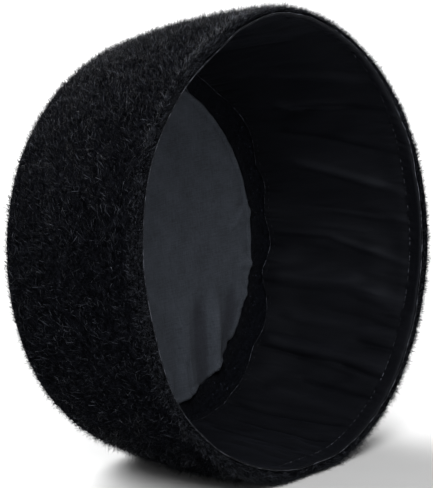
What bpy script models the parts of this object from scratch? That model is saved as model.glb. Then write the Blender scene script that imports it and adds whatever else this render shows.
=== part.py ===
"""Round prayer cap of short black fur with a satin lining, lying on its side.

The cap is modelled standing on its crown: Z runs out of the opening and is zero at the rim, X runs
to the right of someone looking in, and +Y is the side that ends up on top. An empty then lays the
cap on its side. Lengths are in millimetres and angles in degrees; meshes are made in metres.
Angles round the cap start at +X and turn towards +Y. A depth is measured from the rim to the crown.
"""
import math

import bmesh
import bpy
from mathutils import Vector

MM = 0.001

# Outer form
RIM_OUTER_R = 96.9
CROWN_OUTER_R = 86.9
CAP_DEPTH = 82.8
CROWN_CORNER_R = 10.6
CROWN_DOME = 1.5
WALL_FULLNESS = 2.8
FUR_CLOTH = 3.6
RIM_LIP = 2.4

# Opening: the fold line where the fur meets the hem, a 58 cm head size
RIM_LINE_R = 92.5
LIP_DEPTH = 10.0
RIM_FADE_DEPTH = 34.0
CROWN_FADE_DEPTH = 45.0

# Linings
GAP = 0.3
LINING_THICK = 0.8
SEAM_BAND_THICK = 0.8
SEAM_BAND_GAP = 0.4
SEAM_BAND_START = 67.5
LAP_RISE_FROM = 57.0
LAP_RISE_TO = 66.0
WAVY_EDGE_DEPTH = 74.0
CROWN_LINING_R = 71.4
CROWN_LINING_THICK = 1.6

# How it lies
REST_TILT = 7.9
REST_HEIGHT = 94.4
REST_BACK = -39.8
REST_RIGHT = -0.15

# Steps round the cap, and rows along each section as counts, turns or shares
CLOTH_STEPS = 72
LINING_STEPS = 144
LINING_ROWS = (0.0, 0.16, 0.36, 0.57, 0.77, 0.91, 1.0)
LIP_TURNS = (75.0, 40.0, 10.0)
OUTER_WALL_ROWS = 6
INNER_WALL_ROWS = 4
OUTER_CORNER_ROWS = 4
INNER_CORNER_ROWS = 3
CROWN_RINGS = (0.0, 0.4, 0.75, 1.0)
LINING_RINGS = (0.0, 0.35, 0.65, 0.88)

# The rim isn't quite round. Columns: angle, inner offset at the fold line, outer offset at the rim,
# outer offset at the crown corner
RIM_SHAPE = [
    (7, 1.8, 0.5, 0.0),
    (26, 0.9, 1.0, 0.0),
    (50, 2.0, 0.0, 0.0),
    (84, 3.2, 1.4, -0.4),
    (97, 1.2, 0.9, -0.8),
    (112, -2.0, 0.3, -1.2),
    (130, -1.2, 0.0, -0.8),
    (150, -0.4, 0.0, 0.0),
    (170, -1.6, 0.0, 0.0),
    (189, -2.6, 0.0, 0.4),
    (214, 0.4, 0.0, 0.8),
    (228, -0.3, 0.0, 0.2),
    (243, -1.4, -0.2, 0.0),
    (258, -1.6, -0.3, 0.0),
    (277, -0.4, -0.4, 0.0),
    (293, -0.4, -0.3, 0.0),
    (310, -0.1, -0.2, 0.0),
    (326, -0.7, -0.2, 0.0),
    (340, 0.6, 0.1, 0.0),
    (350, 1.3, 0.3, 0.0),
]

# Width of the hem band round the rim. Columns: angle, width
HEM_WIDTH = [
    (6, 8.2),
    (26, 5.4),
    (35, 3.9),
    (56, 3.7),
    (90, 5.0),
    (140, 7.0),
    (200, 7.4),
    (260, 7.6),
    (290, 7.9),
    (318, 7.0),
    (350, 7.6),
]

# Section of the hem band: a soft roll at the rim, thinner where it is stitched down. Columns: share
# of its width, how far it stands in from the fur cloth
HEM_SECTION = [
    (0.10, 0.0),
    (-0.04, 0.5),
    (0.02, 1.6),
    (0.16, 2.6),
    (0.38, 2.2),
    (0.70, 1.3),
    (1.00, 1.1),
    (1.00, 0.0),
    (0.55, 0.0),
]

# How far the crown-side edge of the lining waves. Columns: angle, offset in depth
WAVY_EDGE = [
    (3.7, 1.2),
    (8.4, -0.3),
    (12, 0.0),
    (15.5, 1.3),
    (20, 0.4),
    (24, -0.8),
    (28, -1.5),
    (33, -1.3),
    (40, 0.0),
    (45, 1.3),
    (54, 1.5),
    (70, -0.4),
    (90, 0.9),
    (112, -0.8),
    (140, 0.9),
    (170, -0.7),
    (200, 1.0),
    (230, -0.8),
    (258, 0.6),
    (277, 0.4),
    (282, -0.6),
    (285, -2.6),
    (289, -3.6),
    (294.5, -4.2),
    (300, -3.8),
    (306, -3.2),
    (312.5, -2.1),
    (316, -1.2),
    (321, -2.8),
    (325, -2.8),
    (330, -2.0),
    (334, -0.3),
    (338, 0.9),
    (341.5, 1.3),
    (346, 0.8),
    (350, -0.2),
    (354, 0.3),
    (359, 1.5),
]

# Folds of the side lining. Columns: angle at the crown end, angle at the hem, half width in degrees,
# height, where it starts and ends as shares of the way from crown to hem
LINING_FOLDS = [
    (58.0, 52.0, 3.5, 1.2, 0.0, 0.9),
    (47.0, 39.0, 3.0, 1.2, 0.0, 0.8),
    (39.5, 30.0, 3.0, 1.1, 0.0, 0.7),
    (15.5, 4.5, 4.0, 2.0, 0.1, 1.1),
    (3.0, -3.0, 2.2, 1.0, 0.6, 1.1),
    (-4.0, -14.5, 4.0, 2.0, 0.1, 1.1),
    (-19.0, -25.5, 4.5, 2.2, -0.1, 1.1),
    (-34.0, -38.5, 2.2, 0.9, 0.5, 1.1),
    (-41.0, -46.5, 3.0, 1.5, -0.1, 1.0),
    (-50.0, -54.0, 3.0, 1.3, 0.3, 1.1),
    (-63.0, -67.5, 3.2, 1.6, -0.1, 1.0),
    (-71.5, -75.0, 3.2, 1.5, -0.1, 0.9),
    (-83.0, -87.0, 3.0, 1.3, 0.0, 1.1),
]
FOLD_EASE = 0.17
CROWN_FOLD_EASE = 0.5
HIDDEN_FOLDS_FROM = 72.0
HIDDEN_FOLDS_TO = 266.0
HIDDEN_FOLD_STEP = 13.0
HIDDEN_FOLD_SLANT = -5.0
HIDDEN_FOLD_HALF_WIDTH = 3.2
HIDDEN_FOLD_HEIGHTS = (1.2, 1.7, 0.9)

# Folds of the crown lining. Columns: x and y where it starts, x and y where it meets the edge,
# half width, height
CROWN_FOLDS = [
    (38.0, -21.0, 35.0, -62.0, 4.2, 1.5),
    (47.0, -31.0, 42.5, -56.5, 3.2, 1.1),
    (20.0, -42.0, 20.5, -66.5, 4.0, 1.0),
    (54.0, -6.0, 70.5, 3.5, 3.6, 0.9),
]

# Colour, roughness and sheen of each cloth, as linear RGB
CLOTHS = {
    "black_fur": ((0.010, 0.010, 0.012), 0.9, 0.35),
    "black_satin": ((0.012, 0.013, 0.017), 0.42, 0.15),
    "dark_knit": ((0.009, 0.010, 0.011), 0.95, 0.2),
    "charcoal_cloth": ((0.036, 0.041, 0.050), 0.85, 0.15),
}


def clear_scene():
    for obj in list(bpy.data.objects):
        bpy.data.objects.remove(obj)


def cloth_material(name):
    colour, roughness, sheen = CLOTHS[name]
    material = bpy.data.materials.get(name) or bpy.data.materials.new(name)
    material.use_nodes = True
    shader = material.node_tree.nodes["Principled BSDF"]
    shader.inputs["Base Color"].default_value = (*colour, 1.0)
    shader.inputs["Roughness"].default_value = roughness
    shader.inputs["Metallic"].default_value = 0.0
    shader.inputs["Sheen Weight"].default_value = sheen
    return material


def smooth(share):
    """Ease from 0 to 1 as share does."""
    share = min(max(share, 0.0), 1.0)
    return share * share * (3.0 - 2.0 * share)


def bump(distance):
    """A soft ridge: 1 in the middle, 0 from distance 2 on."""
    return smooth(1.0 - abs(distance) / 2.0)


def round_table(table, angle, column):
    """Read a column of a table whose first column is an angle, easing from row to row."""
    angle %= 360.0
    rows = sorted(table)
    below = [row for row in rows if row[0] <= angle] or [rows[-1]]
    above = [row for row in rows if row[0] > angle] or [rows[0]]
    low, high = below[-1], above[0]
    span = (high[0] - low[0]) % 360.0
    share = ((angle - low[0]) % 360.0) / span
    return low[column] + (high[column] - low[column]) * smooth(share)


def outer_radius(depth):
    """Radius of the fur's outer face, down the full wall and round the crown corner."""
    wall = CAP_DEPTH - CROWN_CORNER_R
    if depth > wall:
        drop = min(depth - wall, CROWN_CORNER_R)
        return CROWN_OUTER_R - CROWN_CORNER_R + math.sqrt(CROWN_CORNER_R**2 - drop**2)
    share = max(depth, 0.0) / wall
    taper = (RIM_OUTER_R - CROWN_OUTER_R) * share
    return RIM_OUTER_R - taper + WALL_FULLNESS * math.sin(math.pi * share)


def inner_radius(depth):
    """Radius of the cloth's inner face, which is narrower at the lip."""
    wall = CAP_DEPTH - CROWN_CORNER_R
    corner = CROWN_CORNER_R - FUR_CLOTH
    if depth > wall:
        drop = min(depth - wall, corner)
        return CROWN_OUTER_R - CROWN_CORNER_R + math.sqrt(corner**2 - drop**2)
    from_lip = smooth(depth / LIP_DEPTH)
    lip = RIM_LINE_R + GAP / 2.0
    return lip + (outer_radius(depth) - FUR_CLOTH - lip) * from_lip


def crown_dome(radius):
    """How far the flat of the crown swells out at a radius."""
    flat = CROWN_OUTER_R - CROWN_CORNER_R
    return CROWN_DOME * max(1.0 - (radius / flat) ** 2, 0.0)


def out_of_round(point):
    """Move a point in or out as the rim's table says, less and less towards the crown."""
    angle = math.degrees(math.atan2(point.y, point.x))
    radius = math.hypot(point.x, point.y)
    depth = max(-point.z, 0.0)
    at_rim = 1.0 - smooth(depth / RIM_FADE_DEPTH)
    at_crown = smooth((depth - CAP_DEPTH + CROWN_FADE_DEPTH) / CROWN_FADE_DEPTH)
    wall = outer_radius(min(depth, CAP_DEPTH - CROWN_CORNER_R))
    face = min(max((wall - radius) / (wall - inner_radius(depth)), 0.0), 1.0)
    rim_outer = round_table(RIM_SHAPE, angle, 2)
    rim_inner = round_table(RIM_SHAPE, angle, 1)
    offset = at_rim * (rim_outer + (rim_inner - rim_outer) * face)
    offset += at_crown * round_table(RIM_SHAPE, angle, 3) * smooth(radius / CROWN_OUTER_R)
    scale = (radius + offset) / radius if radius else 1.0
    return Vector((point.x * scale, point.y * scale, point.z))


def pressed(point, inset):
    """Flatten the underside where it rests; inset is how deep in the wall the point lies."""
    tilt = math.radians(REST_TILT)
    ground = -(REST_HEIGHT + point.z * math.sin(tilt)) / math.cos(tilt)
    return Vector((point.x, max(point.y, ground + inset), point.z))


def worn_shape(bm):
    """Give a turned body the cap's uneven rim and its flattened underside."""
    for vert in bm.verts:
        inset = max(outer_radius(-vert.co.z) - math.hypot(vert.co.x, vert.co.y), 0.0)
        vert.co = pressed(out_of_round(vert.co), inset)


def turned(section, steps, closed):
    """Spin a section of (radius, height) points round the cap's axis into one closed body."""
    bm = bmesh.new()
    verts = [bm.verts.new((radius, 0.0, height)) for radius, height in section]
    pairs = list(zip(verts, verts[1:]))
    if closed:
        pairs.append((verts[-1], verts[0]))
    edges = [bm.edges.new(pair) for pair in pairs]
    bmesh.ops.spin(
        bm,
        geom=verts + edges,
        cent=(0.0, 0.0, 0.0),
        axis=(0.0, 0.0, 1.0),
        angle=math.tau,
        steps=steps,
        use_merge=True,
    )
    bmesh.ops.remove_doubles(bm, verts=bm.verts, dist=0.001)
    bmesh.ops.recalc_face_normals(bm, faces=bm.faces)
    return bm


def finish(bm, name, cloth, pose):
    """Make the body a named object in metres, under the empty that lays the cap down."""
    bmesh.ops.scale(bm, vec=(MM, MM, MM), verts=bm.verts)
    mesh = bpy.data.meshes.new(name)
    bm.to_mesh(mesh)
    bm.free()
    mesh.shade_smooth()
    mesh.materials.append(cloth_material(cloth))
    obj = bpy.data.objects.new(name, mesh)
    bpy.context.collection.objects.link(obj)
    obj.parent = pose
    return obj


def resting_pose():
    """The empty that lays the standing cap on its side, opening forward and slightly up."""
    pose = bpy.data.objects.new("cap_pose", None)
    bpy.context.collection.objects.link(pose)
    pose.rotation_euler = (math.radians(90.0 - REST_TILT), 0.0, 0.0)
    pose.location = (REST_RIGHT * MM, REST_BACK * MM, REST_HEIGHT * MM)
    return pose


def fur_side_band(pose):
    """The side wall: rounded lip, full tapered side, and the corner on to the crown."""
    flat = CROWN_OUTER_R - CROWN_CORNER_R
    wall = CAP_DEPTH - CROWN_CORNER_R
    inner_corner = CROWN_CORNER_R - FUR_CLOTH
    outer = [(RIM_LINE_R + GAP / 2.0, -RIM_LIP / 4.0)]
    for turn in LIP_TURNS:
        lip = math.radians(turn)
        reach = RIM_LIP * (1.0 - math.cos(lip))
        outer.append((outer_radius(RIM_LIP) - reach, RIM_LIP * (math.sin(lip) - 1.0)))
    for row in range(1, OUTER_WALL_ROWS + 1):
        depth = RIM_LIP + (wall - RIM_LIP) * row / OUTER_WALL_ROWS
        outer.append((outer_radius(depth), -depth))
    for row in range(1, OUTER_CORNER_ROWS + 1):
        turn = math.radians(90.0 * row / OUTER_CORNER_ROWS)
        outer.append((flat + CROWN_CORNER_R * math.cos(turn), -wall - CROWN_CORNER_R * math.sin(turn)))
    inner = []
    for row in range(INNER_CORNER_ROWS):
        turn = math.radians(90.0 * (1.0 - row / INNER_CORNER_ROWS))
        inner.append((flat + inner_corner * math.cos(turn), -wall - inner_corner * math.sin(turn)))
    for row in range(INNER_WALL_ROWS + 1):
        depth = wall - (wall - LIP_DEPTH) * row / INNER_WALL_ROWS
        inner.append((inner_radius(depth), -depth))
    inner.append((inner_radius(LIP_DEPTH / 2.0), -LIP_DEPTH / 2.0))
    bm = turned(outer + inner, CLOTH_STEPS, closed=True)
    worn_shape(bm)
    return finish(bm, "fur_side_band", "black_fur", pose)


def fur_crown(pose):
    """The crown piece, its edge butted to the side band."""
    radii = [(CROWN_OUTER_R - CROWN_CORNER_R - GAP) * share for share in CROWN_RINGS]
    section = [(radius, FUR_CLOTH - CAP_DEPTH - crown_dome(radius)) for radius in radii]
    section += [(radius, -CAP_DEPTH - crown_dome(radius)) for radius in reversed(radii)]
    bm = turned(section, CLOTH_STEPS, closed=False)
    worn_shape(bm)
    return finish(bm, "fur_crown", "black_fur", pose)


def hem_band(pose):
    """The soft rolled band inside the rim, as wide as its table says at each angle."""
    face = RIM_LINE_R - GAP / 2.0
    section = [(face - inset, -share) for share, inset in HEM_SECTION]
    bm = turned(section, CLOTH_STEPS, closed=True)
    for vert in bm.verts:
        angle = math.degrees(math.atan2(vert.co.y, vert.co.x))
        vert.co.z *= round_table(HEM_WIDTH, angle, 1)
    worn_shape(bm)
    return finish(bm, "hem_band", "black_satin", pose)


def lining_folds():
    """All the folds of the side lining: those in the table, and plain ones where none shows."""
    folds = list(LINING_FOLDS)
    count = int((HIDDEN_FOLDS_TO - HIDDEN_FOLDS_FROM) / HIDDEN_FOLD_STEP) + 1
    for number in range(count):
        angle = HIDDEN_FOLDS_FROM + number * HIDDEN_FOLD_STEP
        height = HIDDEN_FOLD_HEIGHTS[number % len(HIDDEN_FOLD_HEIGHTS)]
        folds.append((angle, angle + HIDDEN_FOLD_SLANT, HIDDEN_FOLD_HALF_WIDTH, height, -0.1, 1.0))
    return folds


def fold_height(folds, angle, share):
    """How far the lining stands off the wall; share runs from 0 at the crown to 1 at the hem."""
    height = 0.0
    for at_crown, at_hem, half_width, high, start, end in folds:
        middle = at_crown + (at_hem - at_crown) * share
        away = (angle - middle + 180.0) % 360.0 - 180.0
        along = smooth((share - start) / FOLD_EASE) * smooth((end - share) / FOLD_EASE)
        height = max(height, high * bump(away / half_width) * along)
    return height


def side_lining(pose):
    """The gathered satin wall, from the hem's stitched edge to its wavy edge at the crown."""
    section = [(RIM_LINE_R - LINING_THICK, -share) for share in LINING_ROWS]
    section += [(RIM_LINE_R, -share) for share in reversed(LINING_ROWS)]
    bm = turned(section, LINING_STEPS, closed=True)
    folds = lining_folds()
    for vert in bm.verts:
        angle = math.degrees(math.atan2(vert.co.y, vert.co.x))
        visible = math.hypot(vert.co.x, vert.co.y) < RIM_LINE_R - LINING_THICK / 2.0
        share = -vert.co.z
        hem = round_table(HEM_WIDTH, angle, 1) + GAP
        edge = WAVY_EDGE_DEPTH + round_table(WAVY_EDGE, angle, 1)
        depth = hem + (edge - hem) * share
        lap = smooth((depth - LAP_RISE_FROM) / (LAP_RISE_TO - LAP_RISE_FROM))
        stand_off = 2.0 * GAP + lap * (SEAM_BAND_THICK + GAP) + fold_height(folds, angle, 1.0 - share)
        stand_off += LINING_THICK if visible else 0.0
        radius = lined_radius(depth, stand_off)
        vert.co = Vector(
            (radius * math.cos(math.radians(angle)), radius * math.sin(math.radians(angle)), -depth)
        )
    worn_shape(bm)
    return finish(bm, "side_lining", "black_satin", pose)


def lined_radius(depth, inset):
    """Radius at a depth of a layer that lies inset inside the wall, also round the inner corner."""
    wall = CAP_DEPTH - CROWN_CORNER_R
    if depth <= wall:
        return inner_radius(depth) - inset
    reach = CROWN_CORNER_R - FUR_CLOTH - inset
    return CROWN_OUTER_R - CROWN_CORNER_R + math.sqrt(max(reach**2 - (depth - wall) ** 2, 0.0))


def corner_point(travel, inset):
    """A point along the inner crown corner: travel runs from the flat, round, and up the wall."""
    flat = CROWN_OUTER_R - CROWN_CORNER_R
    wall = CAP_DEPTH - CROWN_CORNER_R
    corner = CROWN_CORNER_R - FUR_CLOTH
    quarter = corner * math.pi / 2.0
    if travel < 0.0:
        return flat + travel, -(wall + corner - inset)
    if travel > quarter:
        depth = wall - (travel - quarter)
        return inner_radius(depth) - inset, -depth
    turn = travel / corner
    reach = corner - inset
    return flat + reach * math.sin(turn), -wall - reach * math.cos(turn)


def seam_band(pose):
    """The fuzzy strip that covers the inner crown corner and runs on behind the lining's edge."""
    flat = CROWN_OUTER_R - CROWN_CORNER_R
    quarter = (CROWN_CORNER_R - FUR_CLOTH) * math.pi / 2.0
    start = CROWN_LINING_R + GAP - flat
    end = quarter + CAP_DEPTH - CROWN_CORNER_R - SEAM_BAND_START
    stops = [start, 0.0, quarter / 3.0, quarter * 2.0 / 3.0, quarter, end]
    front = [corner_point(stop, SEAM_BAND_GAP + SEAM_BAND_THICK) for stop in stops]
    back = [corner_point(stop, SEAM_BAND_GAP) for stop in reversed(stops)]
    bm = turned(front + back, CLOTH_STEPS, closed=True)
    worn_shape(bm)
    return finish(bm, "seam_band", "dark_knit", pose)


def crown_fold_height(point):
    """How far the crown lining rises at a point, from the table of its folds."""
    height = 0.0
    for from_x, from_y, to_x, to_y, half_width, high in CROWN_FOLDS:
        start = Vector((from_x, from_y))
        run = Vector((to_x, to_y)) - start
        away = Vector((point.x, point.y)) - start
        along = away.dot(run) / run.length_squared
        aside = abs(away.x * run.y - away.y * run.x) / run.length
        height = max(height, high * bump(aside / half_width) * smooth(along / CROWN_FOLD_EASE))
    return height


def crown_lining(pose):
    """The woven disc inside the crown, with a turned edge and a few soft folds."""
    back = FUR_CLOTH + GAP - CAP_DEPTH
    middle = back + CROWN_LINING_THICK / 2.0
    body = CROWN_LINING_R - CROWN_LINING_THICK / 2.0
    radii = [body * share for share in LINING_RINGS] + [body]
    section = [(radius, back + CROWN_LINING_THICK - crown_dome(radius)) for radius in radii]
    section.append((CROWN_LINING_R, middle - crown_dome(CROWN_LINING_R)))
    section += [(radius, back - crown_dome(radius)) for radius in reversed(radii)]
    bm = turned(section, CLOTH_STEPS, closed=False)
    for vert in bm.verts:
        if vert.co.z + crown_dome(math.hypot(vert.co.x, vert.co.y)) > middle:
            vert.co.z += crown_fold_height(vert.co)
    worn_shape(bm)
    return finish(bm, "crown_lining", "charcoal_cloth", pose)


def main():
    clear_scene()
    pose = resting_pose()
    fur_side_band(pose)
    fur_crown(pose)
    hem_band(pose)
    side_lining(pose)
    seam_band(pose)
    crown_lining(pose)


main()
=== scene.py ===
"""Looks of the round black prayer cap: fur, satin, weave, stitches, stage and camera.

The cap is dressed in its own frame, standing on its crown, and then laid down: Z runs out of the
opening and is zero at the rim, +Y is the side that ends up on top, lengths are in millimetres.
Angles round the cap are in degrees, start at +X and turn towards +Y. A depth is measured from the
rim to the crown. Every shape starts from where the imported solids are.
"""
import math

import bmesh
import bpy
import numpy as np
from bpy.props import FloatProperty, FloatVectorProperty, IntProperty, PointerProperty
from mathutils import Matrix, Vector, noise
from mathutils.bvhtree import BVHTree


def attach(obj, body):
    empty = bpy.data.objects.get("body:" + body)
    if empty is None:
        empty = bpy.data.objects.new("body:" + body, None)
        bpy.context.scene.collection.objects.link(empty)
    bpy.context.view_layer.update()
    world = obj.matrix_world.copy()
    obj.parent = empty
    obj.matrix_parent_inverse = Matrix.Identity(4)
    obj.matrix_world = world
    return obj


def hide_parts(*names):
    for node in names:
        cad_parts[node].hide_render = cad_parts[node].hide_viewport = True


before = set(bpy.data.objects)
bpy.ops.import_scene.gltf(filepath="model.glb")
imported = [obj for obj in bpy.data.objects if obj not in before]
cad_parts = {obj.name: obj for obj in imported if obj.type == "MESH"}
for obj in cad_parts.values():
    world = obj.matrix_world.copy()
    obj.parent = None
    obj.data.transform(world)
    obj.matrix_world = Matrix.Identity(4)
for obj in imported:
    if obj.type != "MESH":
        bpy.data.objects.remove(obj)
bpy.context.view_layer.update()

bl_info = {
    "name": "Prayer Cap Looks",
    "version": (1, 0, 0),
    "blender": (4, 5, 0),
    "location": "View3D > Sidebar > Prayer Cap",
    "description": "Dresses the packed prayer cap with fur, satin, weave and stitches",
    "category": "Object",
}

# A millimetre in metres, and a centimetre in millimetres
MM = 0.001
CM = 10.0

# Seeds of the random draws
PATCH_SEED = 5
LINING_SEED = 5
HEM_SEED = 6
HEM_STITCH_SEED = 7
SEAM_SEED = 8
EDGE_ROW_SEED = 9
SIDE_HAIR_SEEDS = (15, 16, 17)
RIM_HAIR_SEED = 18
CROWN_HAIR_SEED = 25
LONG_HAIR_SEED = 35

# How the cap lies
CAP_TILT = math.radians(7.9)
RIM_MIDDLE = Vector((-0.15, -39.8, 94.4))
LAY_DOWN = (
    Matrix.Scale(MM, 4)
    @ Matrix.Translation(RIM_MIDDLE)
    @ Matrix.Rotation(math.pi / 2.0 - CAP_TILT, 4, "X")
)
STAND_UP = LAY_DOWN.inverted()
FLOOR_CLEARANCE = 0.15

# Sizes that the cloth pieces share
MERGE_DISTANCE = 0.01
SPUN_MERGE_DISTANCE = 0.001
CAP_RADIUS = 92.5
CLOTH_THICKNESS = 0.7
CLOTH_GAP = 0.3

# Pile: its depth and lumps, how deep the lip at the rim reaches and where it counts as turned over,
# how much shorter hairs are on the lip and beside the rim line, and the share of the lip's depth
# that the rim hairs cover
PILE_DEPTH = 0.9
PILE_LUMP_SIZE = 4.0
PILE_LUMP_HEIGHT = 0.22
LIP_REACH = 6.0
LIP_SLOPE = 1.3
LIP_SHEARED = 0.15
LINE_SHEARED = 0.35
RIM_HAIRS_REACH = 0.7

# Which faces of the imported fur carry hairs: how far they point out of the opening on the lip, away
# from the axis on the side, and out of the opening on the crown
LIP_FACING = 0.3
SIDE_FACING = -0.05
CROWN_FACING = -0.5

# Fuller part of the lip: how far it swells in, where round the cap, how deep and from which radius
LIP_FULLNESS = 2.2
LIP_FULL_MIDDLE = -6.0
LIP_FULL_HALF = 27.0
LIP_FULL_EASE = 13.0
LIP_FULL_DEPTH = 6.0
LIP_FULL_RADIUS = 96.0
LIP_FULL_WIDTH = 3.0

# The way that hairs grow: up from the cloth, combed, turned in patches and astray, less combed and
# more outwards on the lip, and never flatter than the least lift
HAIR_UP = 0.7
COMB_WAY = (0.22, 0.95, 0.1)
COMB_PULL = 0.75
BROAD_PATCH_SIZE = 9.0
BROAD_PATCH_PULL = 0.8
FINE_PATCH_SIZE = 2.0
FINE_PATCH_PULL = 0.45
PATCH_SHIFT = (17.0, 5.0, 29.0)
STRAY_PULL = 0.42
LIP_OUT_PULL = 0.35
LIP_COMB_LOSS = 0.5
LEAST_LIFT = 0.3

# Strands: how steep one may be before its sides are worked out from X instead of Z, and its sides
STEEP = 0.9
HAIR_SIDES = 3

# Short hairs, and the guard hairs among them, which stand up and are longer
SHORT_LENGTHS = (0.65, 1.35)
LENGTH_PATCH_SIZE = 3.2
LENGTH_PATCH_SHARE = 0.25
SHORT_BEND = 0.16
SHORT_DROOP = 0.2
SHORT_WIDTHS = (0.7, 1.4)
ROOT_DEPTH = 0.15
GUARD_SHARE = 0.16
GUARD_LENGTH = 1.55
GUARD_LIFT = 0.7

# Long curled hairs
LONG_LENGTHS = (2.6, 5.4)
LONG_STRAY = 0.35
LONG_LIFT = 0.2
LONG_CURL = 0.6
LONG_DROOP = 0.3
LONG_BEND = 0.8
LONG_WIDTHS = (0.5, 0.85)
LONG_ROOT_SHARE = 0.6
LONG_SHADE_POWER = 0.7
LONG_STOPS = (0.3, 0.7)
LONG_SIDE_SHARE = 0.7

# Steps round the cap and rows along it, and where the rows that keep the lining's edges crisp stand
LINING_STEPS = 1040
LINING_ROWS = 29
EDGE_SHARE = 0.005
HEM_STEPS = 900
CROWN_STEPS = 360
CROWN_RINGS = 46

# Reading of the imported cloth: steps round, depths near the rim, and the search for edges by depth
GRID_STEPS = 480
WALL_DEPTHS = (0.8, 2.0, 4.0, 6.0, 8.0, 10.0, 12.0)
WALL_SOFTENING = 4
EDGE_SOFTENING = 2
LAP_SOFTENING = 8
SEARCH_STEP = 0.1
HEM_SEARCH = (2.0, 12.0)
WAVY_SEARCH = (66.0, 78.0)

# Section of the hem: a soft roll at the rim, thin where it is stitched down. Columns: share of its
# width, how far it stands in from the fur cloth
HEM_SECTION = [
    (0.12, 0.0),
    (0.02, 0.05),
    (-0.005, 0.3),
    (0.02, 0.5),
    (0.08, 0.75),
    (0.2, 1.0),
    (0.35, 1.2),
    (0.5, 1.3),
    (0.72, 1.3),
    (0.88, 1.25),
    (0.94, 1.1),
    (0.99, 1.2),
    (1.03, 0.8),
    (1.03, 0.0),
    (0.55, 0.0),
]
HEM_STITCH_SHARE = 0.94
HEM_STITCH_INSET = 1.15
HEM_STITCH_PITCH = 3.0
HEM_STITCH_LENGTH = 2.5
HEM_STITCH_RADIUS = 0.14
HEM_SHOWN_INSET = 0.8
# How dark the hem's satin is against the lining's: painted shade on the hem, which faces the front
# light
HEM_SATIN_SHADE = 0.75

# The side where the hem's roll covers its stitches
HEM_ROLLED_MIDDLE = 75.0
HEM_ROLLED_HALF = 85.0
HEM_ROLLED_EASE = 20.0
HEM_ROLLED_SUNK = 0.2

# Puckers across the hem, and the slow unevenness of its roll
PUCKERS = 260
PUCKER_HALF_WIDTHS = (0.6, 1.6)
PUCKER_HEIGHTS = (0.15, 0.5)
PUCKER_SIGNS = (-0.8, 1.0)
PUCKER_REACH = (0.6, 1.5)
PUCKER_SLANT = 1.5
ROLL_UNEVEN_SIZE = 14.0
ROLL_UNEVEN_HEIGHT = 0.16

# Stitches in general: how uneven they are, how they bulge and where they are thick
STITCH_JITTER = 0.1
STITCH_LENGTHS = (0.85, 1.1)
STITCH_BULGE = 2.6
STITCH_SIDES = 5
STITCH_STOPS = (0.12, 0.5, 0.88)

# The pale line at the rim: painted highlight along the satin's fold over the rim
RIM_LINE_RADIUS = 0.11
RIM_LINE_SIDES = 6
RIM_LINE_SUNK = 0.2
RIM_LINE_RISE = 0.1
RIM_LINE_WANDER = 0.14
RIM_LINE_WANDER_SIZE = 6.0

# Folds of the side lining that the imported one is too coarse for. Columns: angle and depth where it
# starts, angle and depth where it ends, half width in degrees, height (below zero for a crease)
LINING_FOLDS = [
    (16.0, 59.6, 3.8, 7.7, 2.0, 1.1),
    (-1.2, 19.2, -3.7, 7.6, 1.3, 0.98),
    (-5.6, 74.0, -6.8, 48.0, 1.5, 0.8),
    (-6.8, 48.0, -15.0, 8.0, 1.6, 0.9),
    (-19.5, 74.0, -20.4, 36.0, 3.8, 2.3),
    (-20.4, 36.0, -26.2, 8.0, 3.6, 2.3),
    (37.3, 57.5, 33.4, 49.0, 2.2, 1.54),
    (-39.4, 72.0, -43.6, 8.0, 3.8, 2.4),
    (-43.2, 22.7, -44.4, 12.4, 1.2, 0.98),
    (-76.3, 28.9, -78.4, 11.2, 1.6, 1.26),
    (-31.0, 66.0, -34.5, 8.0, 2.6, 1.1),
    (-55.0, 60.0, -60.5, 14.0, 2.8, 1.12),
    (-36.4, 30.3, -38.5, 8.0, 1.3, -1.26),
    (-38.1, 27.1, -39.5, 8.0, 1.0, -0.84),
    (-43.9, 33.2, -47.3, 10.0, 1.4, -1.12),
    (-50.3, 50.0, -54.3, 8.5, 1.6, -1.4),
    (-42.2, 76.0, -44.2, 34.0, 1.3, -1.3),
    (-44.2, 34.0, -46.8, 8.0, 1.3, -1.3),
    (-65.8, 72.0, -65.6, 14.0, 2.2, -1.6),
    (-71.8, 64.0, -73.2, 16.0, 1.8, -1.26),
    (-31.1, 23.4, -32.6, 7.8, 1.1, -0.98),
    (-19.8, 14.2, -21.1, 7.8, 1.0, -0.84),
    (-17.6, 10.6, -18.9, 7.2, 0.9, -0.7),
    (-28.9, 19.6, -30.0, 7.6, 1.0, -0.84),
    (-61.8, 20.5, -63.4, 6.1, 1.2, -0.84),
    (-79.5, 66.0, -82.5, 18.0, 2.2, -1.12),
    (26.0, 64.0, 17.0, 20.0, 2.4, -0.84),
    (52.0, 66.0, 40.0, 14.0, 3.0, 1.12),
]
FOLD_EASE = 7.0
FOLD_SLANT = 0.1

# Its loose folds, the gathers along its sewn edges, and the streaks in its satin
LOOSE_FOLDS = 64
LOOSE_FOLD_STARTS = (22.0, 72.0)
LOOSE_FOLD_LENGTHS = (14.0, 46.0)
LOOSE_FOLD_HEIGHTS = (0.2, 0.7)
LOOSE_FOLD_HALF_WIDTHS = (1.0, 3.2)
LOOSE_FOLD_LAST = 4.0
LOOSE_FOLD_TURNS = (0.6, 1.4)
GATHERS = 230
GATHER_HEIGHTS = (0.15, 0.7)
GATHER_HALF_WIDTHS = (0.6, 1.4)
GATHER_REACH = (5.0, 16.0)
EDGE_GATHER_SHARE = 0.6
STREAK_SLANT = 7.0
STREAK_HEIGHT = 0.6
STREAK_SIZE = 7.0
STREAK_LENGTH = (0.0, 0.0, 22.0)
FINE_STREAK_SHARE = 0.35
FINE_STREAK_SIZE = 2.8
FINE_STREAK_LENGTH = (0.0, 0.0, 12.0)
FINE_STREAK_SHIFT = 40.0

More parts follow.
